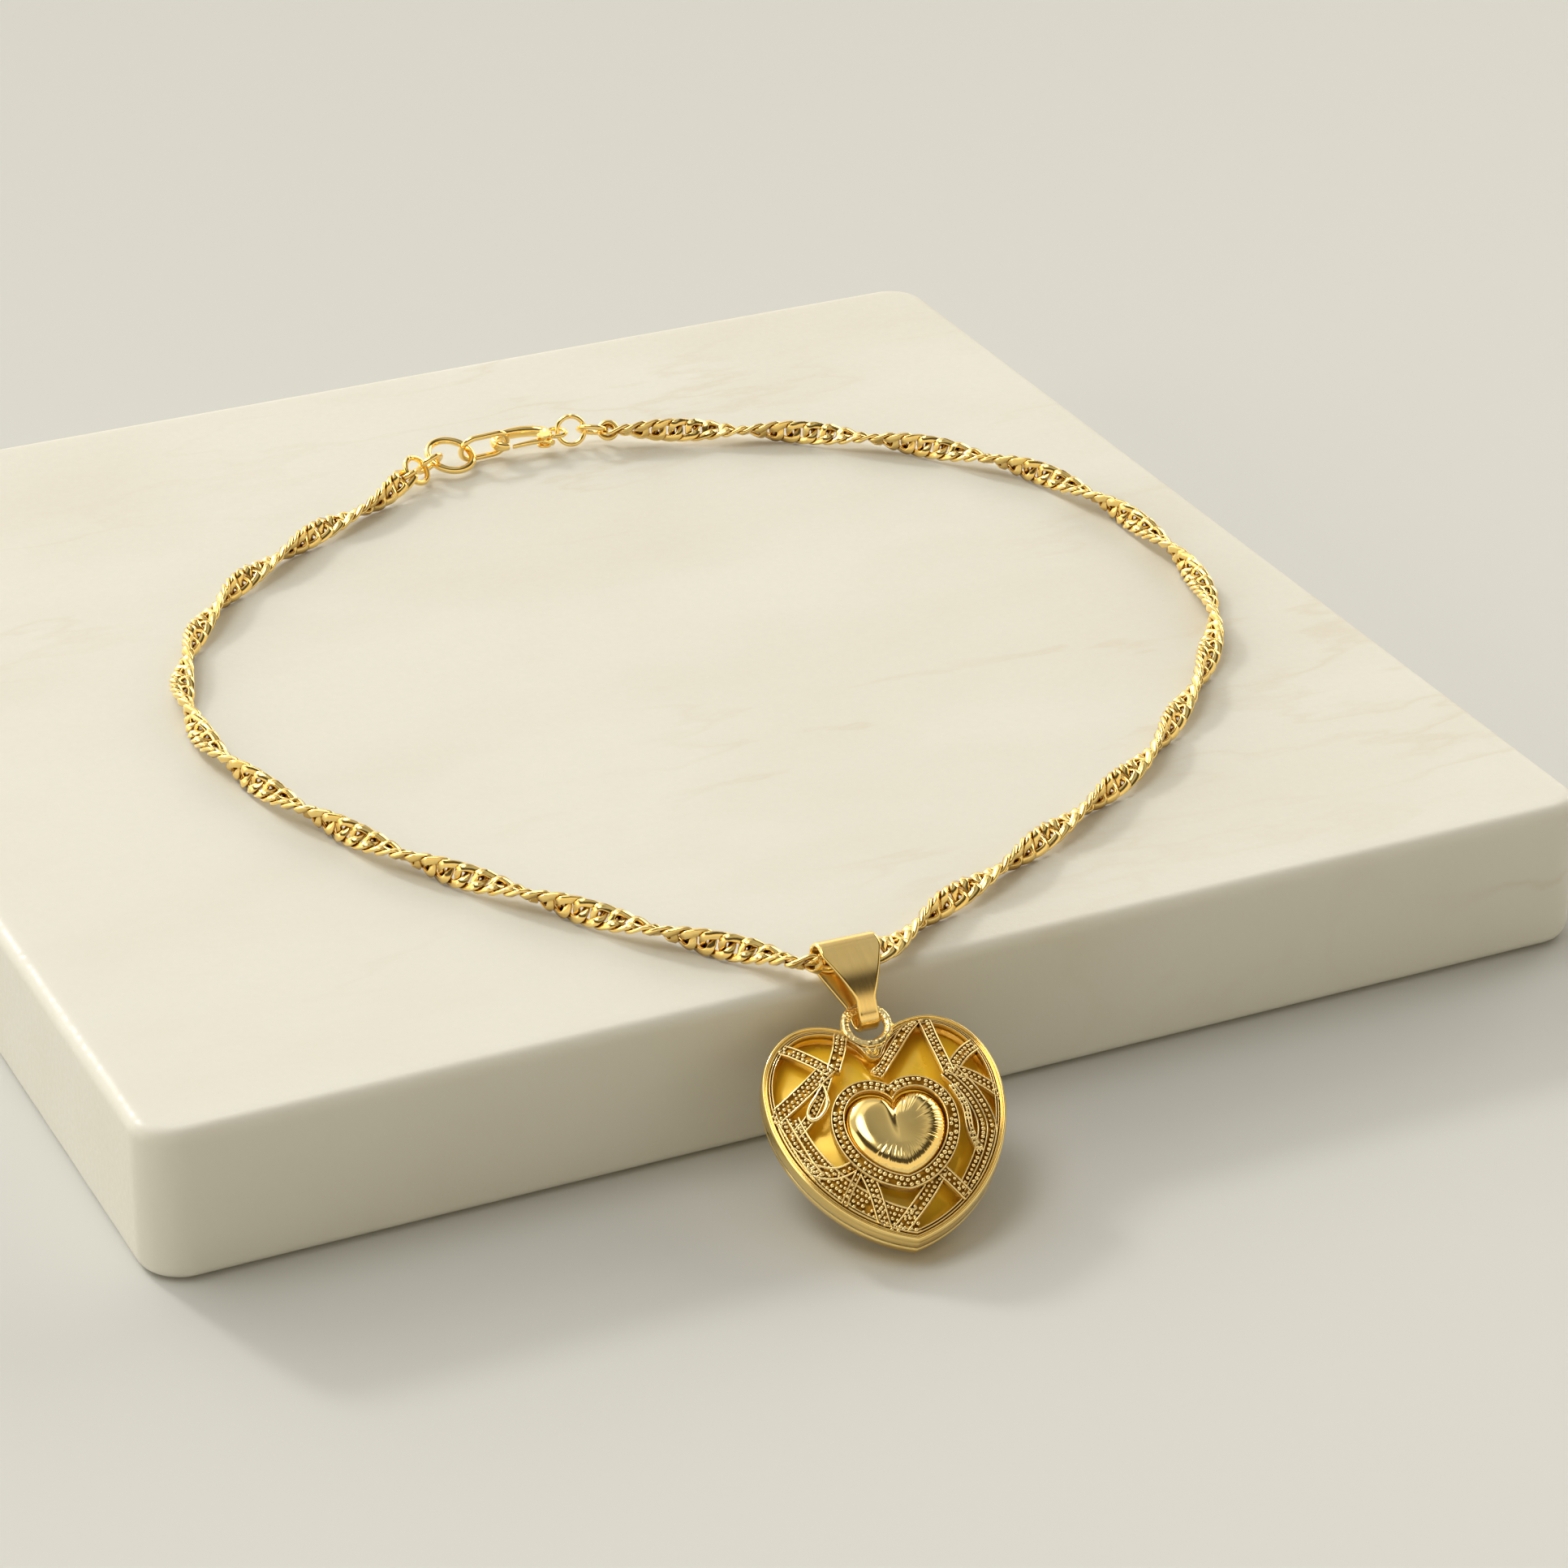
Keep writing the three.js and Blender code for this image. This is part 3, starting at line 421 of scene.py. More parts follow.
STONE = (0.68, 0.68, 0.62)
STONE_CLOUD = (0.64, 0.62, 0.54)
STONE_VEIN = (0.58, 0.5, 0.37)


def marble_material():
    """Honed pale stone with beige clouds, faint tan veins and fine crystals."""
    material, tree, shader = new_material("marble_honed")
    clouds = in_range(tree, object_noise(tree, 22, 6, (1, 1.8, 1)), 0, 0.75, 0.42, 0.72)
    colour = mixed(tree, clouds, STONE, STONE_CLOUD)
    ridge = node(tree, "ShaderNodeMath", operation="SUBTRACT")
    ridge.inputs[1].default_value = 0.5
    tree.links.new(object_noise(tree, 30, 9, (0.7, 2.2, 1)), ridge.inputs[0])
    fold = node(tree, "ShaderNodeMath", operation="ABSOLUTE")
    tree.links.new(ridge.outputs[0], fold.inputs[0])
    veins = in_range(tree, fold.outputs[0], 0.3, 0.0, 0.0, 0.025)
    patch = in_range(tree, object_noise(tree, 14, 2), 0.0, 1.0, 0.5, 0.64)
    faint = node(tree, "ShaderNodeMath", operation="MULTIPLY")
    tree.links.new(veins, faint.inputs[0])
    tree.links.new(patch, faint.inputs[1])
    colour = mixed(tree, faint.outputs[0], colour, STONE_VEIN)
    tree.links.new(colour, shader.inputs["Base Color"])
    crystals = object_noise(tree, 1400, 3)
    tree.links.new(in_range(tree, crystals, 0.34, 0.62), shader.inputs["Roughness"])
    bumped(tree, shader, crystals, 0.00006, 0.5)
    shader.inputs["Subsurface Weight"].default_value = 0.12
    shader.inputs["Subsurface Radius"].default_value = (1.0, 0.8, 0.6)
    shader.inputs["Subsurface Scale"].default_value = 0.003
    return material


LIGHT_GOLD = (1.0, 0.76, 0.3)
WARM_GOLD = (0.98, 0.63, 0.14)
CREAM_GOLD = (1.0, 0.81, 0.4)
SATIN_GOLD = (0.98, 0.74, 0.32)
# Painted shade: the dark brown that the gold takes in hollows
PAINTED_SHADE_GOLD = (0.3, 0.13, 0.01)
# Painted shade: the troughs between the filigree's rails are coloured dark brown
TROUGH_SHADE_GOLD = [(0.42, 0.21, 0.02), (0.24, 0.11, 0.01)]
DEEP_GOLD = [(1.0, 0.66, 0.04), (0.96, 0.56, 0.02)]
BRUSHED = (1, 0.06, 0.06)

polished = gold("gold_polished_plate", LIGHT_GOLD, WARM_GOLD, (0.06, 0.14), 900, 0.000003)
# The chain, beaded and trough plates darken in their hollows with painted shade
chain_gold = gold("gold_chain_plate", LIGHT_GOLD, WARM_GOLD, (0.1, 0.2), 1600, 0.000006, 0.0009)
satin = gold("gold_satin_plate", SATIN_GOLD, WARM_GOLD, (0.17, 0.26), 2600, 0.000003,
             stretch=BRUSHED)
beaded = gold("gold_beaded_plate", CREAM_GOLD, LIGHT_GOLD, (0.08, 0.16), 2400, 0.000008, 0.0004,
              metallic=0.85)
trough = gold("gold_trough_shade_plate", *TROUGH_SHADE_GOLD, (0.3, 0.5), 2000, 0.00003, 0.0005)
deep = gold("gold_deep_plate", *DEEP_GOLD, (0.16, 0.3), 500, 0.00003, metallic=0.2)
marble = marble_material()


# Camera, floor and light


def make_camera():
    data = bpy.data.cameras.new("camera")
    data.lens = CAMERA_LENS
    data.sensor_width = 36
    camera = bpy.data.objects.new("camera", data)
    camera.location = Vector(CAMERA_PLACE) * MM
    camera.rotation_euler = [math.radians(a) for a in CAMERA_ANGLES]
    bpy.context.scene.collection.objects.link(camera)
    bpy.context.scene.camera = camera


SUN_FROM = Vector((-0.246, 0.823, 0.511))
SUN_STRENGTH = 1.0
SUN_SPREAD = 7.0
SUN_COLOUR = (1.0, 0.97, 0.92)
FLOOR_HALF = 3.0
FLOOR_DROP = 0.00005
# Floor colour near the piece; then painted shade: the darker colour far behind and the distance over
# which it comes in, in place of the light falling off
FLOOR_NEAR = (0.59, 0.6, 0.585)
FLOOR_FAR_SHADE = (0.4, 0.41, 0.4)
FLOOR_SHADE_FADE = 1.2

# Studio dome: the directions that it shines from, and for each the tones from facing away to
# facing it, as where a tone starts and its colour. The last three are soft boxes
OVERHEAD_BOX = Vector((-0.36, 0.12, 0.92))
LEFT_BOX = Vector((-0.93, 0.2, 0.3))
RIGHT_BOX = Vector((0.8, 0.45, 0.4))
DARK = (0.0, 0.0, 0.0)
HORIZON = (0.95, 0.82, 0.6)
DOME = [
    (upward, [
        (0.0, HORIZON), (0.7, HORIZON), (0.75, (0.08, 0.07, 0.05)),
        (0.88, (0.06, 0.05, 0.04)), (0.91, (0.3, 0.28, 0.24)), (0.95, (0.62, 0.59, 0.52)),
        (1.0, (0.3, 0.29, 0.27)),
    ]),
    (SUN_FROM, [
        (0.84, DARK), (0.855, (0.5, 0.48, 0.45)), (0.95, (0.6, 0.58, 0.54)),
        (0.97, (1.2, 1.17, 1.1)), (0.984, (2.8, 2.75, 2.6)),
    ]),
    (OVERHEAD_BOX, [(0.979, DARK), (0.983, (3.4, 3.3, 3.1))]),
    (LEFT_BOX, [(0.978, DARK), (0.982, (1.3, 1.25, 1.15))]),
    (RIGHT_BOX, [(0.974, DARK), (0.979, (2.8, 2.7, 2.5))]),
]


def make_floor():
    """Pale floor with painted shade that darkens it a little far behind, in place of the light falling
    off.
    """
    mesh = bpy.data.meshes.new("floor")
    h = FLOOR_HALF
    mesh.from_pydata([(-h, -h, 0), (h, -h, 0), (h, h, 0), (-h, h, 0)], [], [(0, 1, 2, 3)])
    floor = bpy.data.objects.new("floor", mesh)
    floor.location.z = -FLOOR_DROP
    material, tree, shader = new_material("floor_pale_shaded_far")
    place = node(tree, "ShaderNodeSeparateXYZ")
    tree.links.new(node(tree, "ShaderNodeTexCoord").outputs["Object"], place.inputs[0])
    # Painted shade: the floor darkens with distance behind
    behind = in_range(tree, place.outputs["Y"], 0, 1, 0, FLOOR_SHADE_FADE)
    colour = mixed(tree, behind, FLOOR_NEAR, FLOOR_FAR_SHADE)
    tree.links.new(colour, shader.inputs["Base Color"])
    shader.inputs["Roughness"].default_value = 0.8
    mesh.materials.append(material)
    bpy.context.scene.collection.objects.link(floor)


def shining(tree, place, toward, tones):
    """Colour of the dome's light from one direction."""
    facing = node(tree, "ShaderNodeVectorMath", operation="DOT_PRODUCT")
    facing.inputs[1].default_value = toward.normalized()
    tree.links.new(place, facing.inputs[0])
    ramp = node(tree, "ShaderNodeValToRGB")
    stops = ramp.color_ramp.elements
    while len(stops) < len(tones):
        stops.new(0.5)
    for stop, (start, colour) in zip(stops, tones):
        stop.position = start
        stop.color = (*colour, 1)
    tree.links.new(in_range(tree, facing.outputs["Value"], 0, 1, -1, 1), ramp.inputs["Fac"])
    return ramp.outputs["Color"]


def make_light():
    data = bpy.data.lights.new("sun", "SUN")
    data.energy = SUN_STRENGTH
    data.angle = math.radians(SUN_SPREAD)
    data.color = SUN_COLOUR
    sun = bpy.data.objects.new("sun", data)
    sun.rotation_euler = SUN_FROM.to_track_quat("Z", "Y").to_euler()
    bpy.context.scene.collection.objects.link(sun)

    world = bpy.data.worlds.new("studio")
    bpy.context.scene.world = world
    world.use_nodes = True
    tree = world.node_tree
    background = next(n for n in tree.nodes if n.type == "BACKGROUND")
    place = node(tree, "ShaderNodeTexCoord").outputs["Generated"]
    colour, *others = [shining(tree, place, toward, tones) for toward, tones in DOME]
    for part in others:
        both = node(tree, "ShaderNodeMix", data_type="RGBA", blend_type="ADD")
        both.inputs[0].default_value = 1.0
        tree.links.new(colour, both.inputs[6])
        tree.links.new(part, both.inputs[7])
        colour = both.outputs[2]
    tree.links.new(colour, background.inputs["Color"])
    bpy.context.scene.view_settings.view_transform = "Standard"


# Slab


def make_slab():
    """Square slab with round corners and eased edges that wear unevenly."""
    half = (slab_high - slab_low) / 2
    height = slab_high.z - slab_low.z
    centre = (slab_high + slab_low) / 2
    corner_steps = 16
    side_steps = 60
    outline = []
    for quarter in range(4):
        turn = math.radians(90 * quarter)
        cx = (half.x - SLAB_CORNER) * (1 if quarter in (0, 3) else -1)
        cy = (half.y - SLAB_CORNER) * (1 if quarter in (0, 1) else -1)
        for i in range(corner_steps + 1):
            angle = turn + math.radians(90) * i / corner_steps
            outline.append((cx, cy, math.cos(angle), math.sin(angle)))
        ax, ay, nx, ny = outline[-1]
        far = (-ax, ay) if quarter % 2 == 0 else (ax, -ay)
        for i in range(1, side_steps):
            share = i / side_steps
            outline.append((ax + (far[0] - ax) * share, ay + (far[1] - ay) * share, nx, ny))
    edge_steps = 8
    profile = [(SLAB_EDGE * 3, 0.0), (SLAB_EDGE * 1.6, 0.0)]
    for i in range(edge_steps + 1):
        angle = math.radians(90) * i / edge_steps
        profile.append((SLAB_EDGE * (1 - math.sin(angle)), SLAB_EDGE * (1 - math.cos(angle))))
    for share in (0.2, 0.4, 0.6, 0.8):
        profile.append((0.0, SLAB_EDGE + (height - 2 * SLAB_EDGE) * share))
    profile += [(d, height - z) for d, z in reversed(profile[: edge_steps + 3])]
    rings = []
    for inward, z in profile:
        ring = []
        for cx, cy, nx, ny in outline:
            reach = SLAB_CORNER - inward
            x, y = cx + nx * reach, cy + ny * reach
            near_edge = 1 - min(1.0, abs(min(z, height - z) - SLAB_EDGE) / SLAB_EDGE)
            rough = noise.noise(Vector((x, y, z)) * 0.35) + noise.noise(Vector((x, y, z)) * 1.1)
            worn = SLAB_WEAR * near_edge * (0.5 + 0.5 * rough)
            cut = max(0.0, worn) if inward < SLAB_EDGE * 1.5 else 0
            ring.append((x - nx * cut, y - ny * cut, z))
        rings.append(ring)
    shape = Shape()
    shape.add_rings(rings, closed=False)
    place = Matrix.Translation((centre.x, centre.y, slab_low.z))
    slab = new_object("stone_slab", shape, place, [marble], "base", ["display_slab"])
    for face in slab.data.polygons:
        if len(face.vertices) > 4:
            face.use_smooth = False


# Chain


def ring_centre(name):
    low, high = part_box(name)
    return in_mm((low + high) / 2)


def heads(degrees):
    return Vector((math.cos(math.radians(degrees)), math.sin(math.radians(degrees)), 0))


def ring_place(centre, heading, tilt):
    turn = Matrix.Rotation(math.radians(heading), 4, "Z") @ Matrix.Rotation(math.radians(tilt), 4, "X")
    return Matrix.Translation(centre) @ turn


def chain_ends():
    """Both end links' middles, and where the chain meets them."""
    run_height = ring_centre("jump_ring_left_1").z
    left = Vector((*LEFT_EYE, run_height))
    radius, _, wire, heading, _ = RINGS["jump_ring_right_2"]
    step = radius + EYE_RING[0] - (wire + EYE_RING[2]) / 2 - LINK_GAP
    right = ring_centre("jump_ring_right_2") + heads((heading + RIGHT_EYE_HEADING) / 2) * step
    ends = []
    for eye, following, tilt in (
        (left, LEFT_ROUTE[0], LEFT_EYE_TILT),
        (right, RIGHT_ROUTE[-1], RIGHT_EYE_TILT),
    ):
        away = Vector((following[0] - eye.x, following[1] - eye.y, 0)).normalized()
        turn = math.degrees(math.atan2(away.y, away.x))
        ends.append({"eye": eye, "point": eye + away * EYE_RING[0], "turn": turn, "tilt": tilt})
    return ends


def link_rings():
    """One link: its stations' middle points and the two directions across its wire."""
    def middle(u):
        x = LINK_HALF_LENGTH * math.copysign(abs(math.cos(u)) ** LINK_SQUARENESS, math.cos(u))
        y = LINK_HALF_WIDTH * math.copysign(abs(math.sin(u)) ** LINK_SQUARENESS, math.sin(u))
        return Vector((x, y, LINK_TWIST * x * y))

    stations = []
    for i in range(LINK_STATIONS):
        u = 2 * math.pi * (i + 0.5) / LINK_STATIONS
        tangent = (middle(u + 0.01) - middle(u - 0.01)).normalized()
        out = Vector((math.cos(u) * LINK_HALF_WIDTH, math.sin(u) * LINK_HALF_LENGTH, 0))
        out = (out - tangent * out.dot(tangent)).normalized()
        stations.append((middle(u), out, tangent.cross(out)))
    wide, thick = LINK_WIRE
    flat, upright = wide - LINK_WIRE_ROUND, thick - LINK_WIRE_ROUND
    section = [
        (wide, -upright), (wide, upright), (flat, thick), (-flat, thick),
        (-wide, upright), (-wide, -upright), (-flat, -thick), (flat, -thick),
    ]
    return [[point + out * a + over * b for a, b in section] for point, out, over in stations]


def make_chain():
    ends = chain_ends()
    through = [chain_at_bail + bail_across * share * BAIL_STRAIGHT for share in STRAIGHT_SHARES]
    left, right = ([(x, y, chain_height) for x, y in part] for part in (LEFT_ROUTE, RIGHT_ROUTE))
    route = [ends[0]["point"], *left, *through, *right, ends[1]["point"]]
    path = catmull_rom([tuple(p) for p in route], LINK_PITCH)
    link = link_rings()
    shape = Shape()
    pitch = np.linalg.norm(path[1] - path[0])
    for i, point in enumerate(path):
        before, after = path[max(0, i - 1)], path[min(len(path) - 1, i + 1)]
        along = Vector(after - before).normalized()
        side = upward.cross(along).normalized()
        angle = -math.pi * (i * pitch + CHAIN_TURN_START) / CHAIN_HALF_TURN
        turn = Matrix.Rotation(angle, 4, along)
        place = Matrix.Translation(point) @ turn @ placed((0, 0, 0), along, side)
        shape.add_rings([[place @ p for p in ring] for ring in link], closed=True)
    for end in ends:
        add_ring(shape, EYE_RING, ring_place(end["eye"], end["turn"], end["tilt"]))
    new_object("chain_links", shape, Matrix.Identity(4), [chain_gold], "base", ["chain"])


# Rings


def add_ring(shape, size, place, slit=0.0, steps=48, sides=14):
    """Ring of round wire with straight sides, cut through by a slit where it has one."""
    radius, straight, wire = size[:3]
    lead = slit / 2 / radius
    stations = []
    for side in (1, -1):
        start = math.radians(90) * side
        for i in range(steps // 2 + 1):
            turn = start - math.pi * i / (steps // 2)
            stations.append((side * straight / 2, turn))
    if not straight:
        del stations[steps // 2]
        if not slit:
            del stations[-1]
    if slit:
        stations[0] = (stations[0][0], stations[0][1] - lead)
        stations[-1] = (stations[-1][0], stations[-1][1] + lead)
    rings = []
    for x, turn in stations:
        ring = []
        for k in range(sides):
            around = -2 * math.pi * k / sides
            reach = radius + wire / 2 * math.cos(around)
            ring.append(place @ Vector((
                x + reach * math.cos(turn),
                reach * math.sin(turn),
                wire / 2 * math.sin(around),
            )))
        rings.append(ring)
    shape.add_rings(rings, closed=not slit)


def make_rings():
    for name, size in RINGS.items():
        shape = Shape()
        heading, tilt = size[3:]
        slit = RING_SLIT if name.startswith("jump") else 0
        add_ring(shape, size, ring_place(ring_centre(name), heading, tilt), slit)
        new_object(name + "_wire", shape, Matrix.Identity(4), [polished], "base", [name])


# Clasp


def swept(points, widths, heights, sides=16):
    """Rings of an oval section along a flat path, closed at its ends by smaller rings."""
    rings = []
    for i, (x, y) in enumerate(points):
        ahead = points[min(i + 1, len(points) - 1)]
        behind = points[max(i - 1, 0)]
        along = Vector((ahead[0] - behind[0], ahead[1] - behind[1], 0)).normalized()
        side = Vector((-along.y, along.x, 0))
        ring = []
        for k in range(sides):
            around = 2 * math.pi * k / sides
            offset = side * widths[i] / 2 * math.cos(around)
            ring.append(Vector((x, y, heights[i] / 2 * math.sin(around))) + offset)
        rings.append(ring)
    return rings


def remeshed(name, shape, smoothing):
    """One smooth skin round all the forms of a shape."""
    mesh = bpy.data.meshes.new(name)
    mesh.from_pydata([tuple(v) for v in shape.vertices], [], shape.faces)
    source = bpy.data.objects.new(name, mesh)
    bpy.context.scene.collection.objects.link(source)
    skin = source.modifiers.new("skin", "REMESH")
    skin.mode = "VOXEL"
    skin.voxel_size = CLASP_VOXEL
    ease = source.modifiers.new("ease", "SMOOTH")
    ease.factor = 0.5
    ease.iterations = smoothing
    graph = bpy.context.evaluated_depsgraph_get()
    result = bpy.data.meshes.new_from_object(source.evaluated_get(graph))
    bpy.data.objects.remove(source)
    return result


def cylinder_rings(x, y, radius, low, high, sides=24):
    ring = [(x + radius * math.cos(2 * math.pi * k / sides),
             y + radius * math.sin(2 * math.pi * k / sides)) for k in range(sides)]
    return [[Vector((px, py, z)) for px, py in ring] for z in (low, high)]


def make_clasp():
    middle = CLASP_HEAD / 2
    reach_x = middle - CLASP_BAR / 2
    reach_y = CLASP_WIDTH / 2 - CLASP_BAR / 2
    hook = []
    widths = []
    heights = []
    for i in range(61):
        share = i / 60
        angle = math.radians(HOOK_START + share * HOOK_SWEEP)
        hook.append((middle + reach_x * math.cos(angle), reach_y * math.sin(angle)))
        tip = min(1.0, (1 - share) * 10)
        widths.append(CLASP_BAR * (0.45 + 0.55 * math.sqrt(tip)) * (1.12 - 0.2 * share))
        heights.append(CLASP_THICK * (0.5 + 0.5 * math.sqrt(tip)) * (1 - 0.12 * share))
    body = Shape()
    body.add_rings(swept(hook, widths, heights), closed=False)
    eye_x = CLASP_LENGTH - CLASP_EYE
    eye_wire = CLASP_EYE - CLASP_EYE_HOLE
    add_ring(body, ((CLASP_EYE + CLASP_EYE_HOLE) / 2, 0, eye_wire), Matrix.Translation((eye_x, 0, 0)))
    neck = [(CLASP_HEAD - 1.1, 0), (CLASP_HEAD - 0.4, 0), (eye_x - CLASP_EYE_HOLE - 0.1, 0)]
    body.add_rings(swept(neck, [2.4, 1.7, 1.1], [1.2, 1.0, 0.7]), closed=False)
    cheek = LEVER_THICK / 2 + 0.12
    for low, high in ((-CLASP_THICK / 2, -cheek), (cheek, CLASP_THICK / 2)):
        body.add_rings(cylinder_rings(*PIN_PLACE, 0.95, low, high), closed=False)
    body.add_rings(cylinder_rings(*PIN_PLACE, 0.32, -CLASP_THICK / 2, CLASP_THICK / 2), closed=False)
    mesh = remeshed("clasp_hook", body, 6)
    mesh.transform(Matrix.Scale(MM, 4) @ clasp_place)
    finished("clasp_hook", mesh, [polished], "base", ["clasp_body"])

    lever = Shape()
    start = CLASP_BAR + 1.15
    bar = [(start + (PIN_PLACE[0] - start) * t, PIN_PLACE[1] - LEVER_TIP_DROP * (1 - t) ** 2)
           for t in np.linspace(0, 1, 14)]
    bar_widths = np.linspace(0.34, 1.05, 14)
    bar_heights = np.linspace(0.62, LEVER_THICK, 14)
    lever.add_rings(swept(bar, bar_widths, bar_heights), closed=False)
    thumb = [(PIN_PLACE[0] + LEVER_TAIL * 0.82 * t * math.cos(THUMB_ANGLE),
              PIN_PLACE[1] + LEVER_TAIL * 0.82 * t * math.sin(THUMB_ANGLE))
             for t in np.linspace(-0.2, 1, 9)]
    lever.add_rings(swept(thumb, np.linspace(1.2, 0.8, 9), [LEVER_THICK] * 9), closed=False)
    mesh = remeshed("clasp_thumb_lever", lever, 5)
    mesh.transform(Matrix.Scale(MM, 4) @ clasp_place)
    finished("clasp_thumb_lever", mesh, [polished], "clasp_lever", ["clasp_lever"])


# Bail


def bail_loop(top, foot):
    """Middle line of the folded band, whose front leaf swells a little."""
    lean = math.asin((top - foot) / (bail_length + BAIL_FOOT_DROP))
    loop = []
    for i in range(25):
        turn = -lean + i / 24 * (math.pi + 2 * lean)
        loop.append((top * math.cos(turn), bail_length + top * math.sin(turn)))
    for i in range(17):
        turn = math.pi + lean + i / 16 * (math.pi - 2 * lean)
        loop.append((foot * math.cos(turn), foot * math.sin(turn) - BAIL_FOOT_DROP))
    even = evenly(np.array(loop), BAIL_STEP, closed=True)
    span = bail_length + BAIL_FOOT_DROP
    swell = np.sin(np.pi * np.clip((even[:, 1] + BAIL_FOOT_DROP) / span, 0, 1))
    even[:, 0] += np.where(even[:, 0] > 0, BAIL_SWELL * swell, 0)
    return [Vector((0, y, z)) for z, y in even]


def bail_half_width(y):
    """The band's half width: straight at its foot, then widening to its top."""
    share = (y - BAIL_FOOT_STRAIGHT) / (bail_length - BAIL_FOOT_STRAIGHT)
    share = min(1.0, max(0.0, share))
    return (BAIL_FOOT_WIDTH + (BAIL_TOP_WIDTH - BAIL_FOOT_WIDTH) * share) / 2


def make_bail():
    """Band folded round the chain and the hanger: satin faces with polished edges."""
    loop = bail_loop(BAIL_TOP_RADIUS + BAIL_WALL / 2, BAIL_FOOT_RADIUS + BAIL_WALL / 2)
    half_wall = BAIL_WALL / 2
    soft = half_wall * 0.45
    section = [
        (-1, -soft, 0), (-1, soft, 0), (-1, half_wall, BAIL_EDGE), (-1, half_wall, 2 * BAIL_EDGE),
        (0, half_wall, 0),
        (1, half_wall, 2 * BAIL_EDGE), (1, half_wall, BAIL_EDGE), (1, soft, 0), (1, -soft, 0),
        (1, -half_wall, BAIL_EDGE), (0, -half_wall, 0), (-1, -half_wall, BAIL_EDGE),
    ]
    satin_parts = (3, 4, 9, 10)
    rings = []
    total = len(loop)
    for i, point in enumerate(loop):
        along = (loop[(i + 1) % total] - loop[i - 1]).normalized()
        out = Vector((0, along.z, -along.y))
        if out.dot(point - Vector((0, bail_length / 2, 0))) < 0:
            out = -out
        half = bail_half_width(point.y)
        rings.append([Vector((side * (half - inset), 0, 0)) + point + out * height
                      for side, height, inset in section])
    shape = Shape()
    tags = [0 if k in satin_parts else 1 for k in range(len(section))]
    shape.add_rings(rings, closed=True, tags=tags)
    new_object("bail_band", shape, bail_place, [satin, polished], "bail", ["bail"])


# Heart outlines and heights


def heart_outline(width, height, notch, foot, per_half):
    """Outline from the notch down the right side to the tip and up the left."""
    half = width / 2
    notch_floor = np.array((0, height - notch))

    def at(x, y):
        return np.array((x * half, y * height))

    lobe, side, tip = at(0.476, 1), at(1, 0.664), at(0, 0)
    curves = [
        (notch_floor, at(0.07, 0.94), at(0.24, 1), lobe),
        (lobe, at(0.76, 1), at(1, 0.85), side),
        (side, at(1.02, 0.4), at(0.62, 0.08), tip),
    ]
    points = []
    for a, b, c, d in curves:
        for t in np.linspace(0, 1, 200, endpoint=False):
            s = 1 - t
            points.append(s**3 * a + 3 * s * s * t * b + 3 * s * t * t * c + t**3 * d)
    points.append(tip)
    length = sum(np.linalg.norm(q - p) for p, q in zip(points, points[1:]))
    right = evenly(np.array(points), length / per_half)
    left = right[1:-1][::-1] * (-1, 1)
    return np.vstack([right, left]) + (0, foot)


def distance_to(points, outline):
    """Distance from each point to a closed outline."""
    a = outline
    b = np.roll(outline, -1, axis=0)
    ab = b - a
    best = np.full(len(points), np.inf)
    for start, step in zip(a, ab):
        share = np.clip(((points - start) @ step) / (step @ step), 0, 1)
        near = start + share[:, None] * step
        best = np.minimum(best, np.linalg.norm(points - near, axis=1))
    return best


def offset_ring(outline, middle, distance):
    """Outline moved in by a distance, or out by a negative one, along rays from its middle."""
    rays = outline - middle
    radii = np.linalg.norm(rays, axis=1)
    rays = rays / radii[:, None]
    coarse = outline[::3]
    if distance > 0:
        low, high = np.zeros(len(radii)), radii.copy()
    else:
        low, high = radii.copy(), radii + 2.2 * abs(distance)
    for _ in range(22):
        mid = (low + high) / 2
        far = distance_to(middle + rays * mid[:, None], coarse) > abs(distance)
        if distance > 0:
            low, high = np.where(far, mid, low), np.where(far, high, mid)
        else:
            low, high = np.where(far, low, mid), np.where(far, mid, high)
    return middle + rays * ((low + high) / 2)[:, None]


HEART_POINT = np.array((0, HEART_MIDDLE))
CENTRE_POINT = np.array((0, CENTRE_FOOT + CENTRE_HEIGHT / 2))
case_outline = heart_outline(HEART_WIDTH, HEART_HEIGHT, HEART_NOTCH, 0, 180)
front_outline = offset_ring(case_outline, HEART_POINT, FRONT_SEAT)
plate_outline = offset_ring(case_outline, HEART_POINT, PLATE_SEAT)
foot_outline = offset_ring(case_outline, HEART_POINT, CASE_DRAFT)
centre_outline = heart_outline(CENTRE_WIDTH, CENTRE_HEIGHT, CENTRE_NOTCH, CENTRE_FOOT, 150)
seat_outline = offset_ring(centre_outline, CENTRE_POINT, -SEAT_GAP)
border_outline = offset_ring(seat_outline, CENTRE_POINT, -BORDER_BAND)


def polar_reach(outline, middle):
    """Angles in order and the outline's distance from its middle at each."""
    rays = outline - middle
    angles = np.arctan2(rays[:, 1], rays[:, 0])
    order = np.argsort(angles)
    return angles[order], np.linalg.norm(rays, axis=1)[order]


def pendant_place():
    """The heart's frame: it leans from the hanger's top until its lowest corner is just clear."""
    clearance = in_mm(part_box("heart_case")[0]).z
    reach = HANGER_REACH - float(foot_outline[:, 1].min())
    slope = math.asin((hanger_top.z - clearance) / math.hypot(reach, CASE_DEPTH))
    slope -= math.atan2(CASE_DEPTH, reach)
    outward = Vector((heart_across.y, -heart_across.x, 0))
    down = outward * math.cos(slope) - upward * math.sin(slope)
    return placed(hanger_top + down * HANGER_REACH, heart_across, -down)


pendant = pendant_place()
front_reach = polar_reach(front_outline, HEART_POINT)
border_reach = polar_reach(border_outline, CENTRE_POINT)


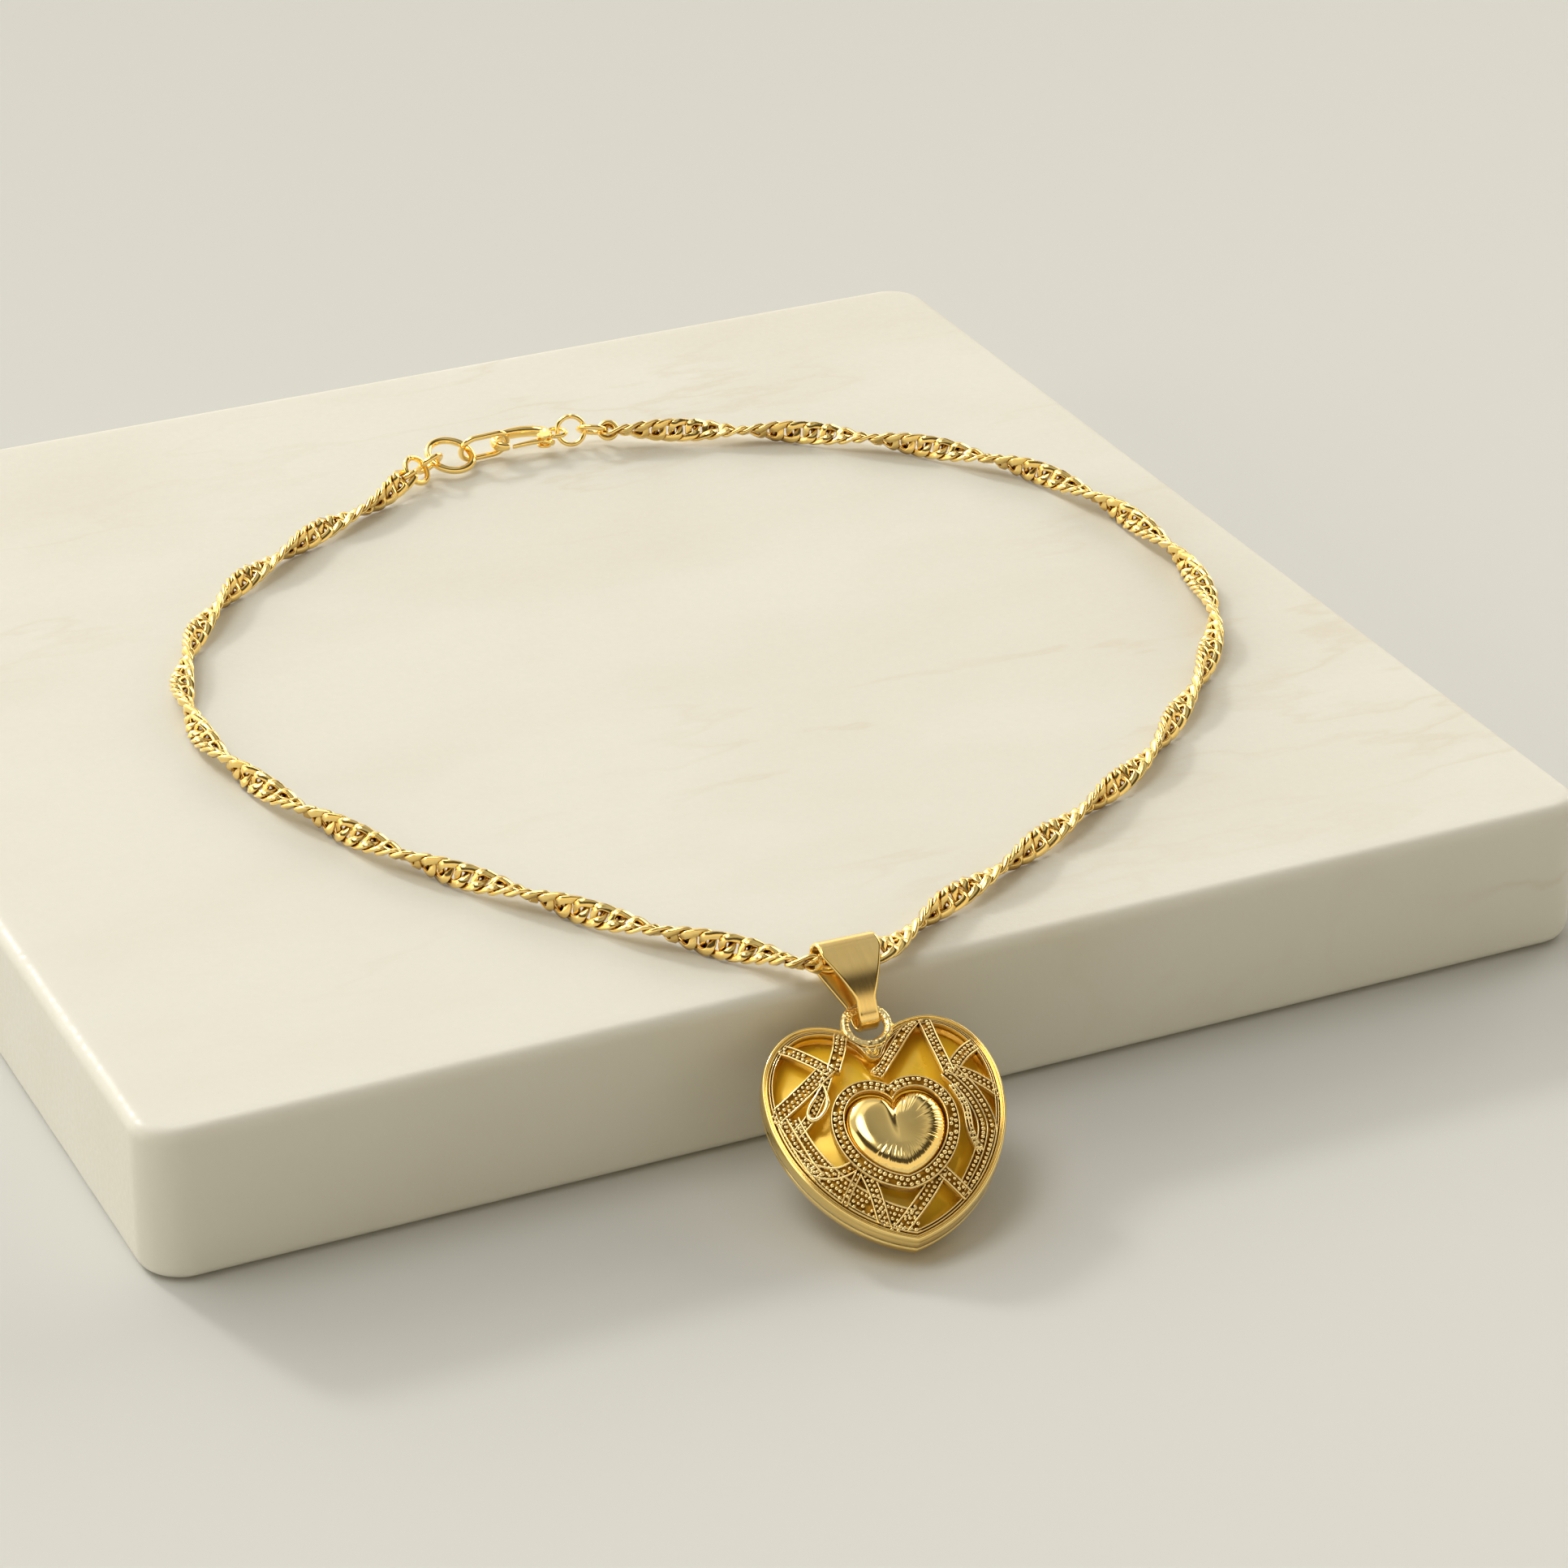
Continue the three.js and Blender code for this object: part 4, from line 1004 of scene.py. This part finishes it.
def share_out(points, middle, reach):
    """How far out each point lies, as a share of the outline's distance that way."""
    rays = points - middle
    angles = np.arctan2(rays[:, 1], rays[:, 0])
    return np.linalg.norm(rays, axis=1) / np.interp(angles, *reach, period=2 * math.pi)


def crown(share):
    return 1 - np.clip(share, 0, 1) ** 2.2


def dome_height(points):
    return FRONT_RISE * crown(share_out(points, HEART_POINT, front_reach))


def kept_inside(points):
    """Points moved in along their rays to the front's outline where they lie past it."""
    share = share_out(points, HEART_POINT, front_reach)
    return HEART_POINT + (points - HEART_POINT) / np.maximum(share, 1)[:, None]


# Filigree


def rail_section(width, rails, rail_width=RAIL_WIDTH):
    """Section of a band from its left edge to its right: the share across, the height over the dome
    and whether the next stretch lies in a trough, which is painted dark as shade."""
    section = [(0.0, -FRONT_SHEET, 0), (0.0, -0.04, 0)]
    rail = rail_width / width
    for i in range(rails):
        start = i * (1 - rail) / (rails - 1)
        for share, height in ((0.04, 0.35), (0.25, 0.85), (0.5, 1.0), (0.75, 0.85), (0.96, 0.35)):
            section.append((start + share * rail, height * RAIL_HEIGHT, 0))
        if i < rails - 1:
            following = (i + 1) * (1 - rail) / (rails - 1)
            section.append((start + rail * 1.05, -0.4 * TROUGH_DEPTH, 1))
            section.append((start + rail * 1.25, -TROUGH_DEPTH, 1))
            section.append((following - rail * 0.25, -TROUGH_DEPTH, 1))
            section.append((following - rail * 0.05, -0.4 * TROUGH_DEPTH, 0))
    return section + [(1.0, -0.04, 0), (1.0, -FRONT_SHEET, 0)]


def add_band(shape, left, right, section, lift, closed):
    """Band between two edges that follows the dome."""
    rows = []
    for share, height, _ in section:
        flat = left + (right - left) * share
        rows.append(np.column_stack([flat, dome_height(flat) + lift + height]))
    rings = [[row[i] for row in rows] for i in range(len(left))]
    shape.add_rings(rings, closed, [tag for _, _, tag in section])


def add_grains(shape, left, right, rails, lift, radius, draw, rail_width=RAIL_WIDTH, closed=False):
    """Irregular rows of round grains between a band's rails."""
    width = float(np.mean(np.linalg.norm(right - left, axis=1)))
    middle = (left + right) / 2
    if closed:
        middle = np.vstack([middle, middle[:1]])
        left = np.vstack([left, left[:1]])
        right = np.vstack([right, right[:1]])
    along = np.concatenate([[0], np.cumsum(np.linalg.norm(np.diff(middle, axis=0), axis=1))])
    trough_width = (width - rails * rail_width) / (rails - 1)
    pitch = radius * 2.25
    rows_each = max(1, round(trough_width / (pitch * 0.92)))
    vertices, faces = ball(radius, 2)
    for gap in range(rails - 1):
        trough_start = rail_width + gap * (trough_width + rail_width)
        for row in range(rows_each):
            share = (trough_start + trough_width * (row + 0.5) / rows_each) / width
            count = max(1, int((along[-1] - 0.1) / pitch))
            for k in range(count):
                at = (k + 0.3 + 0.5 * (row % 2)) * along[-1] / count
                if at > along[-1] or draw.random() < 0.06:
                    continue
                place = [np.interp(at, along, left[:, c] + (right[:, c] - left[:, c]) * share)
                         for c in (0, 1)]
                flat = np.array([place])
                flat += [[draw.uniform(-0.2, 0.2) * radius, draw.uniform(-0.2, 0.2) * radius]]
                size = draw.uniform(0.75, 1.12)
                height = dome_height(flat)[0] + lift - 0.1 * radius
                shape.add([(flat[0, 0] + x * size, flat[0, 1] + y * size, height + z * size)
                           for x, y, z in vertices], faces)


def ribbon_edges(width, line):
    """Left and right edges of a ribbon, cut off at the border round the middle heart."""
    points = catmull_rom([(x * HEART_WIDTH / 2, y * HEART_HEIGHT) for x, y in line], 0.3)
    along = np.gradient(points, axis=0)
    along /= np.linalg.norm(along, axis=1)[:, None]
    side = np.column_stack([-along[:, 1], along[:, 0]]) * width / 2
    clear = share_out(points, CENTRE_POINT, border_reach) > 0.93
    return kept_inside(points + side)[clear], kept_inside(points - side)[clear]


def add_leaf(shape, lift):
    """Loop of the curled leaf, lying on the dome, thicker at its foot than at its tip."""
    loop = catmull_rom([*LEAF_LOOP, LEAF_LOOP[0]], 0.25)[:-1]
    heights = dome_height(loop) + lift
    middle = loop.mean(axis=0)
    rings = []
    for (x, y), z in zip(loop, heights):
        out = Vector((x - middle[0], y - middle[1], 0)).normalized()
        thick = LEAF_WIRE / 2 * (1.25 if y < middle[1] else 0.9)
        rings.append([Vector((x, y, z)) + out * thick * math.cos(a) + upward * thick * math.sin(a)
                      for a in np.linspace(0, 2 * math.pi, 12, endpoint=False)])
    shape.add_rings(rings, closed=True)


def make_filigree():
    bands = Shape()
    grains = Shape()
    draw = random.Random(7)
    for index, (width, rails, line) in enumerate(RIBBONS):
        left, right = ribbon_edges(width, line)
        if len(left) < 2:
            continue
        lift = 0.03 + 0.035 * (index % 5)
        add_band(bands, left, right, rail_section(width, rails), lift, closed=False)
        add_grains(grains, left, right, rails, lift, GRAIN_RADIUS, draw)
    add_leaf(bands, 0.3)

    border = rail_section(BORDER_BAND, 2, BORDER_RAIL)
    add_band(bands, seat_outline, border_outline, border, BORDER_RAISE, closed=True)
    add_grains(grains, seat_outline, border_outline, 2, BORDER_RAISE, BORDER_GRAIN, draw,
               BORDER_RAIL, closed=True)

    rim_inner = offset_ring(case_outline, HEART_POINT, FRONT_SEAT + RIM_BAND)
    add_band(bands, rim_inner, front_outline, rail_section(RIM_BAND, 2, 0.16), 0.0, closed=True)

    lower_inner = offset_ring(case_outline, HEART_POINT, FRONT_SEAT + LOWER_BAND)
    low = (front_outline[:, 0] < 0.5) & (front_outline[:, 1] < 0.6 * HEART_HEIGHT)
    lower = rail_section(LOWER_BAND, 2)
    add_band(bands, lower_inner[low], front_outline[low], lower, 0.02, closed=False)
    add_grains(grains, lower_inner[low], front_outline[low], 2, 0.02, GRAIN_RADIUS, draw)

    # The troughs between the rails take the trough plate, painted dark brown as shade
    new_object("filigree_bands", bands, pendant, [beaded, trough], "heart", ["filigree_front"])
    new_object("filigree_grains", grains, pendant, [beaded], "heart", ())


# Case, plate and middle heart


def heart_loft(shape, outline, middle, layers, first, last):
    """Skin over rings of an outline: each layer is the ring itself and its heights."""
    rings = [np.column_stack([ring, np.broadcast_to(z, len(ring))]) for ring, z in layers]
    count = len(outline)
    vertices = [(*middle, first), *[p for ring in rings for p in ring], (*middle, last)]
    faces = []
    end = 1 + count * len(rings)
    for k in range(count):
        right = (k + 1) % count
        faces.append((0, 1 + right, 1 + k))
        for r in range(len(rings) - 1):
            base = 1 + r * count
            faces.append((base + k, base + right, base + count + right, base + count + k))
        base = 1 + (len(rings) - 1) * count
        faces.append((base + k, base + right, end))
    shape.add(vertices, [tuple(reversed(f)) for f in faces])


def toward(outline, middle, share):
    return middle + (outline - middle) * share


def case_wall():
    """The case's wall from its back corner up to the rim and down inside: distances in from the
    outline and heights."""
    outside = [
        (1.4, -4.1), (1.15, -4.02), (0.88, -3.78), (0.66, -3.48), (0.5, -3.2), (0.34, -2.9),
        (0.2, -2.55), (0.1, -2.2), (0.03, -1.95), (0.0, -1.78),
    ]
    seam = [(0.1, -1.68), (0.14, -1.6), (0.1, -1.52), (0.0, -1.42)]
    rim = [
        (0.0, -0.55), (0.03, -0.47), (0.0, -0.38), (0.0, -0.05), (0.055, 0.1), (0.13, 0.22),
        (0.22, 0.29), (0.3, 0.27), (0.37, 0.17), (0.41, 0.05), (0.45, 0.04), (0.49, 0.12),
        (0.56, 0.17), (0.64, 0.12), (0.69, 0.02), (0.7, -0.12),
    ]
    ledges = [
        (0.7, -0.75), (0.86, -0.82), (0.88, -1.0), (1.02, -1.08), (1.04, -1.3), (1.2, -1.38),
        (1.2, -1.58), (0.7, -1.7), (0.7, -2.2), (1.2, -2.85), (2.1, -3.6),
    ]
    return outside + seam + rim + ledges


def make_case():
    shape = Shape()
    wall = case_wall()
    inset = {distance: offset_ring(case_outline, HEART_POINT, distance) for distance, _ in wall}
    layers = []
    for share in np.linspace(0.06, 0.96, 16):
        groove = 0.1 * math.exp(-(((share - 0.88) / 0.018) ** 2))
        depth = -CASE_DEPTH - BACK_RISE * float(crown(share)) + groove
        layers.append((toward(inset[CASE_DRAFT], HEART_POINT, share), depth))
    layers += [(inset[distance], z) for distance, z in wall]
    last_distance, last_height = wall[-1]
    for share in (0.9, 0.75, 0.5, 0.25):
        depth = last_height - BACK_RISE * float(crown(share))
        layers.append((toward(inset[last_distance], HEART_POINT, share), depth))
    heart_loft(shape, case_outline, HEART_POINT, layers, -CASE_DEPTH - BACK_RISE,
               last_height - BACK_RISE)
    new_object("case_shell", shape, pendant, [polished], "heart", ["heart_case"])


def make_hanger():
    """Hanger ring with a ribbed and grained surface, and the solder in the notch under it."""
    shape = Shape()
    middle = HANGER_REACH - HANGER_RADIUS
    steps, sides = 160, 20
    half_wire = HANGER_WIRE / 2 - 0.06
    rings = []
    for i in range(steps):
        turn = 2 * math.pi * i / steps
        ring = []
        for k in range(sides):
            around = -2 * math.pi * k / sides
            ribs = 0.04 * math.cos(around * 5 + turn * 2)
            at = Vector((math.cos(turn) * 9, math.sin(turn) * 9, around * 1.6))
            thick = half_wire + ribs + 0.09 * noise.noise(at)
            thick = min(thick, HANGER_WIRE / 2)
            reach = HANGER_RADIUS + thick * math.cos(around)
            height = thick * math.sin(around)
            ring.append((reach * math.cos(turn), middle + reach * math.sin(turn), height))
        rings.append(ring)
    shape.add_rings(rings, closed=True)
    saddle = []
    for angle in range(-140, -39, 5):
        a = math.radians(angle)
        depth = 0.3 + 0.35 * math.sin(math.radians((angle + 140) * 1.8))
        ring = []
        for b in np.linspace(0, -2 * math.pi, 12, endpoint=False):
            reach = HANGER_RADIUS + 0.35 + depth * (0.5 + 0.5 * math.cos(b))
            height = 0.36 * math.sin(b) - 0.1
            ring.append((reach * math.cos(a), middle + reach * math.sin(a), height))
        saddle.append(ring)
    shape.add_rings(saddle, closed=False)
    new_object("hanger_ring", shape, pendant, [beaded], "heart", ())


def make_plate():
    shape = Shape()
    layers = []
    shares = np.linspace(0.05, 1, 20)

    def top(share):
        return FRONT_RISE * float(crown(share)) - FRONT_SHEET - PLATE_DROP

    for share in shares:
        layers.append((toward(plate_outline, HEART_POINT, share), top(share) - PLATE_SHEET))
    for share in shares[::-1]:
        layers.append((toward(plate_outline, HEART_POINT, share), top(share)))
    heart_loft(shape, plate_outline, HEART_POINT, layers, top(0) - PLATE_SHEET, top(0))
    new_object("backing_plate", shape, pendant, [deep], "heart", ["heart_plate"])


def centre_surface(share):
    """Heights of the middle heart's ring at a share of the way out."""
    ring = toward(centre_outline, CENTRE_POINT, share)
    base = FRONT_RISE * float(crown(CENTRE_SEAT))
    puff = CENTRE_RISE * (1 - share**6)
    offset = ring - CENTRE_POINT
    above = np.clip(offset[:, 1] / (CENTRE_HEIGHT / 2), -0.5, 1)
    flank = np.where(offset[:, 0] > 0, 1.7, 0.6)
    crease = -0.42 * np.exp(-((offset[:, 0] / flank) ** 2)) * np.clip(above + 0.35, 0, 1)
    angles = np.arctan2(offset[:, 1], offset[:, 0])
    brushed = np.array([noise.noise(Vector((math.cos(a) * 32, math.sin(a) * 32, 0))) for a in angles])
    reach = np.clip((share - 0.5 - 0.25 * np.roll(brushed, 5)) / 0.25, 0, 1)
    flutes = 0.13 * brushed * reach * (np.abs(angles + 0.6) < 1.9)
    fade = 1 if share < 0.9 else max(0.0, (1 - share) / 0.1)
    return ring, base + puff + (crease + flutes) * fade


def make_centre():
    shape = Shape()
    base = FRONT_RISE * float(crown(CENTRE_SEAT)) - FRONT_SHEET
    shares = [0.03, *np.linspace(0.08, 0.88, 26), *np.linspace(0.9, 1, 11)]
    layers = [(toward(centre_outline, CENTRE_POINT, 0.5), base), (centre_outline, base)]
    layers += [centre_surface(share) for share in reversed(shares)]
    top = float(np.mean(centre_surface(0.0)[1]))
    heart_loft(shape, centre_outline, CENTRE_POINT, layers, base, top)
    new_object("middle_heart", shape, pendant, [polished], "heart", ["center_heart"])


make_camera()
make_floor()
make_light()
make_slab()
make_chain()
make_rings()
make_clasp()
make_bail()
make_case()
make_hanger()
make_plate()
make_filigree()
make_centre()
